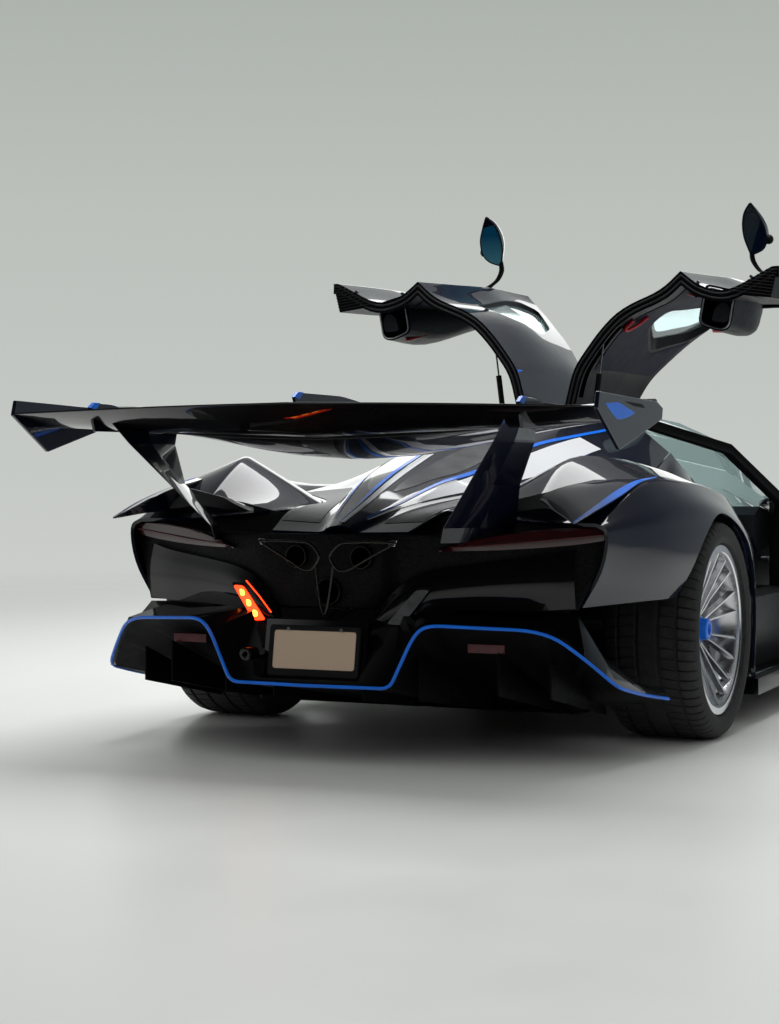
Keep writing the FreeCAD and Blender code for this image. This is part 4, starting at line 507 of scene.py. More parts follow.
def rounded(points, radius, steps=4):
    """A line of points with its inner corners rounded. radius: one value, or one for each corner."""
    radii = radius if isinstance(radius, (list, tuple)) else [radius] * (len(points) - 2)
    line = [points[0]]
    for before, corner, after, size in zip(points, points[1:], points[2:], radii):
        one, two = before - corner, after - corner
        a = corner + one * min(0.48, size / max(one.length, 1e-6))
        b = corner + two * min(0.48, size / max(two.length, 1e-6))
        for k in range(steps + 1):
            t = k / steps
            line.append(a * (1 - t) ** 2 + corner * 2 * t * (1 - t) + b * t * t)
    return line + [points[-1]]


def ringed(points, radius, steps=4):
    """A closed outline with all its corners rounded."""
    return rounded([points[-1], *points, points[0]], radius, steps)[1:-1]


def divided(points, length):
    """The same line with no step longer than a length."""
    return matched([points], length)[0]


def matched(rows, length):
    """Rows divided alike, by their longest steps."""
    counts = [
        max(1, ceil(max((row[j + 1] - row[j]).length for row in rows) / length))
        for j in range(len(rows[0]) - 1)
    ]
    out = []
    for row in rows:
        line = [row[0]]
        for j, count in enumerate(counts):
            line += [row[j].lerp(row[j + 1], k / count) for k in range(1, count + 1)]
        out.append(line)
    return out


def flowing(rows, per=6):
    """More rows between the given ones, on smooth lines through them."""
    out = []
    for i in range(len(rows) - 1):
        b, c = rows[i], rows[i + 1]
        a = rows[i - 1] if i else [2 * q - r for q, r in zip(b, c)]
        e = rows[i + 2] if i + 2 < len(rows) else [2 * r - q for q, r in zip(b, c)]
        for k in range(per):
            t = k / per
            line = []
            for pa, pb, pc, pe in zip(a, b, c, e):
                la, lb, lc = (max((v - u).length, 1e-6) for u, v in ((pa, pb), (pb, pc), (pc, pe)))
                mb = ((pb - pa) / la + (pc - pb) / lb) / 2 * lb
                mc = ((pc - pb) / lb + (pe - pc) / lc) / 2 * lb
                line.append(
                    pb * (2 * t**3 - 3 * t**2 + 1) + mb * (t**3 - 2 * t**2 + t)
                    + pc * (-2 * t**3 + 3 * t**2) + mc * (t**3 - t**2)
                )
            out.append(line)
    return out + [list(rows[-1])]


def mesh_of(name, vertices, faces):
    mesh = bpy.data.meshes.new(name)
    mesh.from_pydata([tuple(v) for v in vertices], [], faces)
    mesh.validate()
    return mesh


def grid_faces(high, wide, closed=False):
    """The faces between rows of points. closed joins a row's ends."""
    return [(i * wide + j, i * wide + (j + 1) % wide, (i + 1) * wide + (j + 1) % wide, (i + 1) * wide + j)
            for i in range(high - 1) for j in range(wide if closed else wide - 1)]


def grid(name, rows, closed=False, capped=False):
    """A mesh through rows of points. capped fills the end rows."""
    wide = len(rows[0])
    faces = grid_faces(len(rows), wide, closed)
    if capped:
        faces += [tuple(range(wide))[::-1], tuple((len(rows) - 1) * wide + j for j in range(wide))]
    return mesh_of(name, [v for row in rows for v in row], faces)


def even_faces(mesh, inside=None):
    """Faces turned one way round: outward, or away from a point inside."""
    build = bmesh.new()
    build.from_mesh(mesh)
    bmesh.ops.remove_doubles(build, verts=build.verts, dist=1e-6)
    bmesh.ops.recalc_face_normals(build, faces=build.faces)
    if inside is not None:
        lean = sum(f.normal.dot(f.calc_center_median() - inside) * f.calc_area() for f in build.faces)
        if lean < 0:
            bmesh.ops.reverse_faces(build, faces=build.faces)
    build.to_mesh(mesh)
    build.free()


def baked(obj):
    """A piece with its modifiers applied."""
    graph = bpy.context.evaluated_depsgraph_get()
    mesh = bpy.data.meshes.new_from_object(obj.evaluated_get(graph))
    obj.modifiers.clear()
    obj.data = mesh


def cut(obj, cutters):
    """Takes closed meshes out of a piece."""
    for mesh in cutters:
        even_faces(mesh)
        tool = placed("cutter", mesh)
        change = obj.modifiers.new("cut", "BOOLEAN")
        change.object, change.solver = tool, "EXACT"
        baked(obj)
        bpy.data.objects.remove(tool)


def cylinder_mesh(start, end, radius, count=96):
    """A closed cylinder to cut with."""
    axis = (end - start).normalized()
    side = axis.orthogonal().normalized()
    other = axis.cross(side)
    rows = [[centre + side * (radius * cos(a)) + other * (radius * sin(a)) for a in turns_of(count)]
            for centre in (start, end)]
    return grid("cutter", rows, closed=True, capped=True)


def prism_mesh(outline, travel, name="cutter"):
    """A closed prism: an outline and a way to sweep it."""
    return grid(name, [outline, [v + travel for v in outline]], closed=True, capped=True)


def panel(name, rows, look, body="root", thick=0.004, inside=None, angle=30, closed=False, capped=False,
          cutters=()):
    """A curved panel through rows of points, with a thickness inward."""
    mesh = grid(name, rows, closed, capped)
    if inside is None:
        inside = Vector((middle_of([v for row in rows for v in row]).x, 0, CAR_MIDDLE_Z))
    even_faces(mesh, None if capped else inside)
    obj = piece(name, mesh, look, body)
    if thick and not capped:
        skin = obj.modifiers.new("thickness", "SOLIDIFY")
        skin.thickness, skin.offset = thick, -1
        baked(obj)
    cut(obj, cutters)
    return finished(obj, angle)


def lump(name, rows, look, body="root", angle=30):
    """A closed shape through rings of points."""
    return panel(name, rows, look, body, angle=angle, closed=True, capped=True)


def tube(name, points, radius, look, body="root", resolution=3, cyclic=False):
    """A round bar or trim strip along points."""
    curve = bpy.data.curves.new(name, "CURVE")
    curve.dimensions = "3D"
    spline = curve.splines.new("POLY")
    spline.points.add(len(points) - 1)
    for point, place in zip(spline.points, points):
        point.co = (*place, 1)
    spline.use_cyclic_u = cyclic
    curve.bevel_depth = radius
    curve.bevel_resolution = resolution
    curve.use_fill_caps = True
    temp = placed(name, curve)
    mesh = bpy.data.meshes.new_from_object(temp.evaluated_get(bpy.context.evaluated_depsgraph_get()))
    bpy.data.objects.remove(temp)
    mesh.name = name
    return finished(piece(name, mesh, look, body), 50)


def closed_piece(name, mesh, look, body, angle, edge=0.0):
    """A closed piece, its edges softened where a width is given."""
    even_faces(mesh)
    return finished(piece(name, mesh, look, body), angle, edge)


def slab(name, outline, travel, look, body="root", edge=0.002):
    """A flat plate: its outline swept along a short way."""
    return closed_piece(name, prism_mesh(outline, Vector(travel), name), look, body, 25, edge)


# ---------------------------------------------------------------- rear fenders and deck

# The deck, half. Columns: x, crest z, then (y, z) of the ridge's shoulder, its foot and the outer edge.
DECK = [
    (924, 1147, (168, 1128), (400, 1050), (505, 962)), (450, 1096, (240, 1052), (430, 950), (565, 868)),
    (0, 1002, (215, 950), (385, 832), (606, 812)), (-450, 886, (150, 858), (215, 796), (294, 786)),
    (-720, 794, (92, 778), (130, 756), (276, 768)), (-930, 724, (40, 718), (60, 702), (236, 706)),
]
DECK_TOP = 2000  # above all of it
# A rear fender. Columns: x, then (inset, z) of the crest, the blade line, flank, widest line, lip.
FENDER = [
    (924, (470, 940), (326, 776), (376, 640), (261, 425), (263, 345)),
    (450, (372, 822), (137, 800), (43, 640), (28, 430), (33, 165)),
    (0, (207, 888), (122, 850), (12, 740), (0, 600), (8, 480)),
    (-450, (397, 940), (160, 850), (57, 740), (50, 600), (97, 488)),
    (-800, (397, 738), (195, 735), (150, 715), (170, 590), (240, 478)),
]
FENDER_SIZES = [0.02, 0.008, 0.06, 0.07, 0.03]
ARCH, ARCH_RADIUS = drawn([(0, 641, 364), (0, 1300, 364)]), 0.388
INTAKE = drawn([(870, 400, 395), (520, 400, 300), (545, 400, 650), (850, 400, 700)])
# The fin over each lamp. Columns: the points of its crease, middle, inner edge and foot, front to tip.
FIN = [
    ((-300, 838, 872), (-310, 790, 889), (-330, 745, 898), (-340, 745, 880)),
    ((-450, 831, 858), (-490, 765, 868), (-530, 710, 868), (-520, 720, 840)),
    ((-620, 829, 822), (-700, 750, 838), (-770, 672, 842), (-720, 730, 766)),
    ((-800, 822, 785), (-840, 745, 806), (-880, 664, 824), (-860, 762, 752)),
    ((-984, 796, 741), (-962, 735, 774), (-932, 662, 812), (-980, 790, 738)),
]
FIN_LINE = (0.10, 0.26, 0.30, 0.22, 0.06)  # how far the accent reaches from crease to middle
FIN_LIFT = Vector((-0.1, 0.25, 0.9)).normalized() * 0.0022


def fender_rows():
    rows = []
    for (x, *profile), (deck_x, *_, (edge_y, edge_z)) in zip(FENDER, DECK):
        line = [p(deck_x, edge_y + 6, edge_z)] + [p(x, HALF_WIDTH - inset, z) for inset, z in profile]
        rows.append(rounded(line, FENDER_SIZES))
    return flowing(matched(rows, 0.05), 10)


def rear_cutters(sign):
    """The wheel arch and the side intake on one side."""
    (start, end), outline = on_side([ARCH, INTAKE], sign)
    return cylinder_mesh(start, end, ARCH_RADIUS), prism_mesh(outline, Vector((0, sign * 0.9, 0)))


def make_rear_fenders():
    body = fender_rows()
    fin = matched(flowing([drawn(line) for line in FIN], 4), 0.03)
    accent = flowing([
        [p(*crease).lerp(p(*middle), share) + FIN_LIFT for share in (0, wide / 2, wide)]
        for (crease, middle, _, _), wide in zip(FIN, FIN_LINE)
    ], 5)
    for side, sign in SIDES:
        skin = panel(f"rear_fender_{side}", on_side(body, sign), "paint", thick=0.012,
                     cutters=rear_cutters(sign))
        if sign > 0:
            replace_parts(skin, "rear_fenders")
        panel(f"tail_fin_{side}", on_side(fin, sign), "paint", inside=p(-600, sign * 800, 700))
        panel(f"shoulder_line_{side}", on_side(accent, sign), "blue", thick=0.0015)


def make_deck():
    """The dorsal ridge and the channels beside it."""
    rows = []
    for x, crest, *profile in DECK:
        half = [p(x, 0, crest), p(x, 11, crest - 1)] + [p(x, y, z) for y, z in profile]
        line = rounded(half, [0.003, 0.012, 0.02], 3)
        rows.append(flip(line[:0:-1]) + line)
    shown = flowing(matched(rows, 0.03), 8)
    skin = panel("deck_skin", shown, "paint", thick=0.01, angle=18)
    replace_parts(skin, "engine_cover")
    return shown


# Lines and panes laid on the deck: look, sides and lift, then x, y of one edge and y of the other. The white
# lines are painted highlights along the ridge's crest and creases.
DECK_LINES = {
    # A painted highlight on the ridge's crest.
    "ridge_highlight": ("white", (1,), 0.0020, [
        (-948, -7, 7), (-700, -11, 11), (-240, -13, 13), (-205, -11, 11), (-196, -5, 5)]),
    "ridge_blue": ("blue", (1,), 0.0020, [
        (-935, 10, 15), (-700, 20, 36), (-200, 34, 62), (450, 40, 76), (900, 44, 80)]),
    "ridge_pane": ("pane", (1, -1), 0.0016, [
        (-605, 40, 46), (-560, 38, 75), (-450, 42, 115), (-331, 50, 158), (-150, 60, 172), (60, 80, 176)]),
    "channel_mesh": ("grey_mesh", (1, -1), 0.0016, [
        (-840, 112, 250), (-620, 170, 268), (-450, 214, 282), (-200, 310, 440), (0, 396, 590)]),
    "flank_blue": ("blue", (1, -1), 0.0022, [
        (-845, 52, 56), (-700, 90, 97), (-450, 143, 153), (-331, 172, 183), (-150, 202, 214),
        (150, 230, 243), (450, 292, 306), (860, 330, 346)]),
    # A painted highlight on the crease at the foot of the ridge.
    "flank_highlight": ("white", (1, -1), 0.0020, [
        (-850, 60, 62), (-700, 101, 112), (-527, 141, 168), (-331, 188, 232), (0, 236, 320), (450, 311, 392)]),
}
LINE_POINTS = 7


def make_deck_lines(deck):
    """Each line dropped onto the deck from above, and lifted a little off it."""
    tree = BVHTree.FromPolygons([v for row in deck for v in row], grid_faces(len(deck), len(deck[0])))
    for name, (look, signs, lift, table) in DECK_LINES.items():
        line = flowing([[Vector((x, a, 0)), Vector((x, b, 0))] for x, a, b in table], 6)
        for sign in signs:
            rows = []
            for a, b in line:
                row = []
                for k in range(LINE_POINTS):
                    spot = a.lerp(b, k / (LINE_POINTS - 1))
                    hit, normal, _, _ = tree.ray_cast(p(spot.x, sign * spot.y, DECK_TOP), -UP)
                    if hit:
                        row.append(hit + normal * copysign(lift, normal.z))
                if len(row) == LINE_POINTS:
                    rows.append(row)
            panel(f"{name}_{'left' if sign > 0 else 'right'}", rows, look, thick=0.0)


# ---------------------------------------------------------------- wing

# Sections from the middle out. Columns: y, nose and tail x, nose and tail z, thickness.
WING = [
    (0, -540, -1085, 925, 990, 46), (230, -545, -1090, 942, 996, 46), (480, -560, -1098, 985, 1010, 44),
    (700, -590, -1104, 1022, 1026, 40), (880, -640, -1110, 1040, 1034, 34), (965, -700, -1112, 1046, 1036, 28),
]
FLAP = [(0, -1060, -1304, 1000, 1100, 22), (480, -1072, -1303, 1018, 1092, 21),
        (965, -1092, -1300, 1040, 1078, 18)]
# The fences on the top: y, rear and front x, top z, look.
FENCES = {
    "middle": (0, -1248, -520, 1131, "paint"),
    "left": (720, -1248, -930, 1108, "paint"),
    "right": (-720, -1248, -930, 1108, "paint"),
}
# The end plates, and the flash and slot on them, as (x, z). The slot is a dark sheet that stands for its shaded
# opening: painted shade.
END_PLATE = [(-1302, 1070), (-1288, 1118), (-748, 1104), (-690, 1086), (-700, 1050), (-1104, 955)]
END_FLASH = [(-1240, 1085), (-1120, 1092), (-1010, 1072), (-960, 1064), (-1060, 1046), (-1130, 1040),
             (-1190, 1062)]
END_SLOT = [(-1075, 1096), (-900, 1092), (-870, 1080), (-985, 1084)]
END_Y, END_THICK = 965, 14
BRACKET = [(-1000, 1012), (-1000, 1055), (-1130, 1075), (-1200, 1078), (-1205, 1062), (-1080, 1012)]
# A pylon from the foot up. Columns: rear x and y, front x and y, z.
PYLON = [
    (-1030, 388, -756, 508, 676), (-1037, 400, -760, 526, 721), (-1107, 509, -880, 585, 852),
    (-1175, 616, -871, 628, 980), (-1205, 663, -850, 628, 1046),
]


def upright(y, corners):
    """Points of a plane beside the car's middle line."""
    return [p(x, y, z) for x, z in corners]


def plane_section(y, nose, tail, low_z, tail_z, thick):
    chord, nose_z = nose - tail, low_z + thick + 30
    return upright(y, [
        (nose, nose_z), (nose - chord * 0.06, nose_z + 12), (nose - chord * 0.4, low_z + thick + 16),
        (tail, tail_z + 8), (tail, tail_z), (nose - chord * 0.72, low_z + 16),
        (nose - chord * 0.4, low_z), (nose - chord * 0.1, low_z + 22),
    ])


def flap_section(y, nose, tail, nose_z, tail_z, thick):
    chord = nose - tail
    return upright(y, [
        (nose, nose_z + 4), (nose - chord * 0.15, nose_z + 22), (tail, tail_z), (tail, tail_z - 5),
        (nose - chord * 0.4, nose_z + 14 - thick * 0.5), (nose - chord * 0.1, nose_z - 6),
    ])


def make_wing():
    for name, table, section, sizes in (
        ("wing_plane", WING, plane_section, [0.02, 0.03, 0.12, 0.002, 0.002, 0.09, 0.09, 0.03]),
        ("wing_flap", FLAP, flap_section, [0.006, 0.02, 0.002, 0.002, 0.03, 0.012]),
    ):
        half = flowing([ringed(section(*row), sizes, 3) for row in table], 6)
        skin = lump(name, on_side(half[:0:-1], -1) + half, "gloss")
        if name == "wing_plane":
            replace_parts(skin, "wing")
    for name, (y, rear, front, top, look) in FENCES.items():
        low = top - 90
        fence = upright(y, [(rear, top - 14), (rear + 26, top), (rear + 0.45 * (front - rear), top - 2),
                            (front, top - 44), (front + 6, low), (rear + 30, low)])
        slab(f"wing_fence_{name}", shifted(rounded(fence, 0.03), y=-0.005), (0, 0.010, 0), look, edge=0.003)
        tip = upright(y, [(rear - 2, top - 15), (rear + 26, top + 1.5), (rear + 60, top + 1),
                          (rear + 34, top - 22)])
        slab(f"wing_fence_tip_{name}", shifted(tip, y=-0.0058), (0, 0.0116, 0), "blue", edge=0.001)
    # The brackets across the slot between plane and flap.
    for number, y in enumerate((-600, 0, 600)):
        slab(f"wing_bracket_{number}", upright(y - 4, BRACKET), (0, 0.008, 0), "gloss", edge=0.001)


def make_end_plates():
    for side, sign in SIDES:
        plate = slab(f"end_plate_{side}", upright(sign * END_Y, END_PLATE), (0, sign * END_THICK * MM, 0),
                     "paint", edge=0.004)
        if sign > 0:
            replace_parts(plate, "wing_end_plates")
        outer = sign * (END_Y + END_THICK)
        flash = upright(outer, END_FLASH)
        flash = rounded(flash + [flash[0]], 0.03)[:-1]
        for name, outline, proud, look in (
            # The slot's dark sheet is painted shade in the opening.
            ("end_flash", flash, 0.0016, "blue"), ("end_slot_shade", upright(outer, END_SLOT), 0.0014, "dark"),
        ):
            slab(f"{name}_{side}", shifted(outline, y=-sign * 0.001), (0, sign * proud, 0), look, edge=0.0004)


def make_pylons():
    for side, sign in SIDES:
        rows = []
        for rear_x, rear_y, front_x, front_y, z in PYLON:
            rear, front = p(rear_x, rear_y, z), p(front_x, front_y, z)
            across = (front - rear).cross(UP).normalized() * 0.011
            spine, end = rear.lerp(front, 0.42), across * 0.12
            rows.append([rear - end, spine - across, front - end, front + end, spine + across, rear + end])
        pylon = lump(f"pylon_{side}", on_side(rows, sign), "paint", angle=12)
        if sign > 0:
            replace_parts(pylon, "wing_pylons")


# ---------------------------------------------------------------- doors

# A door's sections shut. Columns: x, then (y, z) of the hinge edge, roof rail, shoulder, upper and
# lower glass lines, crest, waist, scoop, rocker and tip.
DOOR = [
    (930, (91, 1148), (239, 1138), (400, 1060), (500, 985), (588, 840),
     (672, 776), (624, 690), (616, 585), (737, 428), (742, 404)),
    (1350, (91, 1148), (245, 1144), (405, 1072), (505, 998), (600, 855),
     (690, 784), (640, 690), (630, 585), (750, 428), (755, 404)),
    (1680, (91, 1148), (245, 1136), (410, 1052), (528, 960), (640, 845),
     (705, 786), (664, 690), (655, 585), (755, 428), (758, 404)),
    (2166, (150, 1080), (245, 1070), (420, 1010), (560, 902), (655, 815),
     (705, 786), (690, 690), (685, 585), (752, 428), (754, 404)),
]
DOOR_SIZES = [0.05, 0.09, 0.09, 0.06, 0.004, 0.07, 0.07, 0.006]  # how far each corner is rounded
# The front edge as (x, y), and the window as (x, z).
DOOR_FRONT = [(1600, -10), (1662, 87), (1950, 484), (2180, 660), (2180, -10)]
WINDOW = [(1235, 885), (1330, 990), (1560, 1040), (1850, 978), (2060, 860), (1900, 838)]
FRAME_TOP, FRAME_DEPTH, LINING_DEPTH = 3.4, 42, 44.5  # in from the outer skin
SEAL_DEPTHS, SEAL_X = (12, 30), 932.5
RIBS = 9
STRUT_ROOM = [(130, 1126), (430, 1072), (430, 930), (130, 930)]
# The pod's rings, from the rear forward. Columns: x, then (y, z) of its corners.
POD = [
    (985, (482, 690), (465, 600), (482, 560), (630, 560), (640, 690)),
    (1320, (482, 700), (465, 600), (482, 556), (640, 556), (650, 700)),
    (1700, (560, 730), (530, 690), (550, 640), (670, 640), (690, 730)),
]
POD_PAD = [(980, 505, 575), (984, 560, 572), (984, 585, 600), (982, 560, 632), (980, 500, 640)]
HINGE_Y, HINGE_Z = 85, 1142
HINGE = Vector((0, HINGE_Y * MM, HINGE_Z * MM))
OPEN_ANGLE = 80
SWING = Matrix.Rotation(radians(OPEN_ANGLE), 3, "X")


def swung(v, sign=1):
    """Where a point of the shut left door stands when it is open, or its mirror image."""
    out = HINGE + SWING @ (v - HINGE)
    return Vector((out.x, sign * out.y, out.z))


def swung_line(points, sign):
    return [swung(v, sign) for v in points]


def turned_way(travel, sign):
    """A direction of the shut left door, on an open door."""
    way = SWING @ Vector(travel)
    return Vector((way.x, sign * way.y, way.z))


def door_line(row, depth, first=0, last=9):
    """A door's section moved in by a depth, with rounded corners."""
    x, *profile = row
    moved = []
    for j, (y, z) in enumerate(profile):
        total, count = Vector((0, 0)), 0
        for a, b in ((j - 1, j), (j, j + 1)):
            if 0 <= a and b < len(profile):
                step = Vector((profile[b][0] - profile[a][0], profile[b][1] - profile[a][1])).normalized()
                total += Vector((step.y, -step.x))
                count += 1
        total /= count
        total /= max(total.length_squared, 0.45)
        moved.append(p(x, y + total.x * depth, z + total.y * depth))
    return rounded(moved[first:last + 1], DOOR_SIZES[first:last - 1])


def section_at(x, depth, first, last, row=0):
    """One of the door's sections, drawn at another x."""
    return door_line((x, *DOOR[row][1:]), depth, first, last)


def door_cutters(sign, shrink=0.0, slack=0.0):
    """The slanted front edge and the window opening, as closed meshes."""
    slant = swung_line([p(x - slack, y, 600) for x, y in DOOR_FRONT], sign)
    hole = upright(200, WINDOW)
    middle = middle_of(hole)
    hole = [swung(v + (v - middle).normalized() * shrink, sign) for v in ringed(hole, 0.05)]
    return (prism_mesh(slant, turned_way((0, 0, 0.7), sign)),
            prism_mesh(hole, turned_way((0, 0.9, 0), sign)))


def frame_cutters(shrink, slack):
    """The same for the frame and its lining, with the room that the shut gas strut takes."""
    def cutters(sign):
        room = swung_line([p(946, y, z) for y, z in STRUT_ROOM], sign)
        return (*door_cutters(sign, shrink, slack), prism_mesh(room, Vector((0.054, 0, 0))))
    return cutters


def door_part(name, rows, look, cuts=lambda sign: (), toward=p(1500, 0, 600), **options):
    """A panel drawn on the shut left door, on both open doors."""
    return [
        panel(f"{name}_{side}", [swung_line(row, sign) for row in rows], look, BODY_OF["door_" + side],
              inside=swung(toward, sign), cutters=cuts(sign), **options)
        for side, sign in SIDES
    ]


def door_lump(name, rows, look, **options):
    return door_part(name, rows, look, closed=True, capped=True, **options)


def door_bar(name, points, radius, look, **options):
    for side, sign in SIDES:
        tube(f"{name}_{side}", swung_line(points, sign), radius, look, BODY_OF["door_" + side], **options)


def door_slab(name, outline, travel, look, edge=0.002):
    for side, sign in SIDES:
        slab(f"{name}_{side}", swung_line(outline, sign), turned_way(travel, sign), look,
             BODY_OF["door_" + side], edge)


def on_lining(share, x, lift):
    """A point at a share of the way down the lining, lifted off it."""
    line = section_at(x, LINING_DEPTH + 1.5 + lift, 1, 7, row=1)
    spot = share * (len(line) - 1)
    low = min(int(spot), len(line) - 2)
    return line[low].lerp(line[low + 1], spot - low)


def scaled(line, share, step):
    """A ring drawn in toward its middle, and moved along x."""
    middle = middle_of(line)
    return [middle.lerp(v, share) + Vector((step, 0, 0)) for v in line]


def make_door_shell():
    skin = flowing(matched([door_line(row, 0) for row in DOOR], 0.05), 8)
    skins = door_part("door_skin", skin, "paint", thick=0.003, cuts=door_cutters, angle=40)
    for obj, (side, _) in zip(skins, SIDES):
        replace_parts(obj, "door_" + side)
    core = [door_line(row, FRAME_TOP) + door_line(row, FRAME_DEPTH)[::-1] for row in DOOR]
    core = flowing(matched(core, 0.08), 4)
    core[0] = shifted(core[0], x=0.003)
    door_lump("door_frame", core, "jamb", cuts=frame_cutters(0.0, 3))
    # The lining, short of the edges.
    rows = flowing([door_line(row, LINING_DEPTH, 1, 7) for row in DOOR], 8)[2:-1]
    door_part("door_lining", rows, "navy", angle=40, cuts=frame_cutters(0.012, 40), toward=p(1500, 1200, 500))
    # The two seals around the rear edge.
    for number, depth in enumerate(SEAL_DEPTHS):
        door_bar(f"door_seal_{number}", divided(section_at(SEAL_X, depth, 0, 8), 0.05), 0.004, "rubber")
    # The rocker's triangular end, ribbed, and its closed lower edge.
    rows = []
    for x, *_, (scoop_y, scoop_z), rocker, tip in DOOR[:-1]:
        corners = [(y - 4, z) for y, z in ((scoop_y, scoop_z), rocker, tip)] + [(scoop_y + 4, tip[1] + 8)]
        rows.append([p(x, y, z) for y, z in corners])
    door_lump("door_rocker", flowing(rows, 4), "jamb")
    for k in range(RIBS):
        t = 0.08 + 0.10 * k
        top = p(927, 616 + (737 - 616) * t, 585 + (428 - 585) * t)
        low = p(927, 620 + (742 - 620) * t, 412 - 8 * t)
        door_bar(f"rocker_rib_{k}", [top, low], 0.0022, "dark", resolution=1)


def make_door_trim():
    # The pod: a deep cup with a rim and a pad.
    body = [ringed([p(x, *corner) for corner in corners], 0.028) for x, *corners in POD]
    cup = [scaled(body[0], 0.60, 0.10), scaled(body[0], 0.84, 0.02), scaled(body[0], 0.90, 0.0)]
    door_lump("pod", cup + flowing(body, 4), "jamb", angle=40)
    door_bar("pod_rim", scaled(body[0], 0.88, -0.003), 0.0035, "alloy", cyclic=True)
    door_slab("pod_pad", ringed(drawn(POD_PAD), 0.016), (0.09, 0, 0), "trim", 0.006)
    # Red piping: a V behind the pod, the handle and a strip under the glass.
    door_bar("red_v", drawn([(1150, 486, 684), (1040, 466, 640), (1150, 476, 612)]), 0.006, "red", resolution=1)
    handle = [(0.30, 1010, 10), (0.22, 1010, 14), (0.20, 1060, 14), (0.28, 1100, 14), (0.34, 1095, 10)]
    door_bar("door_handle", rounded([on_lining(*spot) for spot in handle], 0.015), 0.007, "red")
    strip = [on_lining(0.58, x, 3) for x in (1010, 1150, 1300, 1450)]
    door_bar("door_strip", rounded(strip, 0.05), 0.007, "red", resolution=1)
    cushion = [on_lining(share, x, 2) for share, x in ((0.60, 1180), (0.60, 1430), (0.74, 1440), (0.78, 1180))]
    door_slab("door_cushion", ringed(cushion, 0.03), (0, -0.03, 0), "bright_navy", 0.008)
    # The latch pins, hinge knuckles and leaves, and the strut's stud.
    for number, (y, z) in enumerate(((638, 700), (688, 500))):
        door_bar(f"latch_pin_{number}", drawn([(925.5, y, z), (940, y, z)]), 0.006, "chrome")
    for number, x in enumerate((1080, 1550)):
        ends = (x - 23, x + 23)
        door_bar(f"hinge_knuckle_{number}", [p(end, HINGE_Y, HINGE_Z) for end in ends], 0.009, "steel")
        near, far = ([p(end, y, HINGE_Z - 16) for end in ends] for y in (HINGE_Y + 4, HINGE_Y + 32))
        door_slab(f"hinge_leaf_{number}", near + far[::-1], (0, 0, 0.012), "steel")
    door_bar("strut_stud", drawn([(972.3, 383, 1048), (998, 383, 1048)]), 0.006, "chrome")
    # The blue flash on the roof edge, narrowing forward.
    flash = []
    for k in range(9):
        t = k / 8
        a = section_at(934 + 420 * t, -1.2, 0, 4)
        flash.append([a[0].lerp(a[3], 0.72), a[0].lerp(a[3], 0.72 + 0.30 * (1 - t ** 1.5))])
    door_part("roof_flash", flash, "blue", thick=0.0015)


# ---------------------------------------------------------------- mirrors

# The stalk from the door out. Columns: x, y, z, half depth and half height of a section.
STALK = [
    (1895, 650, 632, 86, 40), (1905, 690, 655, 74, 32), (1915, 735, 690, 30, 19),
    (1920, 765, 745, 15, 13), (1912, 800, 775, 13, 12), (1898, 838, 784, 11, 10),
]
# The head, as shares of the way from root to tip. Columns: share, height over and under it, depth.
HEAD = [(0.03, 6, 8, 14), (0.13, 15, 49, 52), (0.27, 28, 68, 84), (0.40, 35, 69, 92), (0.60, 38, 60, 78),
        (0.82, 29, 31, 46), (1.0, 4, 4, 10)]
HEAD_ROOT, HEAD_TIP = drawn([(1901, 818, 781), (1782, 1026, 793)])
KNOB = 0.021


def make_mirrors():
    line = HEAD_TIP - HEAD_ROOT
    ahead = Vector((line.y, -line.x, 0)).normalized()
    stalk = flowing([[p(x + deep * cos(a), y, z + high * sin(a)) for a in turns_of(16, 0.5)]
                     for x, y, z, deep, high in STALK])
    for (side, _), obj in zip(SIDES, door_lump("mirror_stalk", stalk, "satin", angle=50)):
        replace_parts(obj, "mirror_" + side)
    head, glass, upper, lower = [], [], [], []
    for share, rise, drop, depth in HEAD:
        middle = HEAD_ROOT + line * share
        head.append([middle + ahead * (depth * a) * MM + UP * b * MM for a, b in (
            (0, rise), (0.35, 0.98 * rise), (0.7, 0.75 * rise), (1, 0.3 * (rise - drop)),
            (0.7, -0.75 * drop), (0.35, -0.98 * drop), (0, -drop),
        )])
        a, b = (max(reach - 5, 1) * MM for reach in (rise, drop))
        glass.append([middle - ahead * 0.0015 + UP * (a - (a + b) * k / 6) for k in range(7)])
        upper.append(middle - ahead * 0.001 + UP * (rise - 2) * MM)
        lower.append(middle - ahead * 0.001 - UP * (drop - 2) * MM)
    door_lump("mirror_shell", flowing(head), "paint", angle=40)
    for side, sign in SIDES:
        rows = [swung_line(row, sign) for row in flowing(glass[:-1])]
        # The right mirror's glass takes the darker copy: painted shade.
        panel(f"mirror_glass_{side}", rows, "mirror" if sign > 0 else "mirror_shaded",
              BODY_OF["mirror_" + side], thick=0.001, angle=60)
    rim = rounded(upper + lower[::-1], 0.02, 3)
    door_bar("mirror_rim", rim, 0.0035, "dark", resolution=2, cyclic=True)
    # The round knob under each head.
    centre = HEAD_ROOT + line * 0.30 + ahead * 0.03 - UP * 0.066
    rows = []
    for k in range(9):
        a = pi * k / 8
        r = max(KNOB * sin(a), 0.0004)
        rows.append([centre + line.normalized() * (KNOB * cos(a)) + ahead * (r * cos(b))
                     + UP * (r * sin(b)) for b in turns_of(20)])
    door_lump("mirror_knob", rows, "satin", angle=60)


# ---------------------------------------------------------------- tyres and wheels

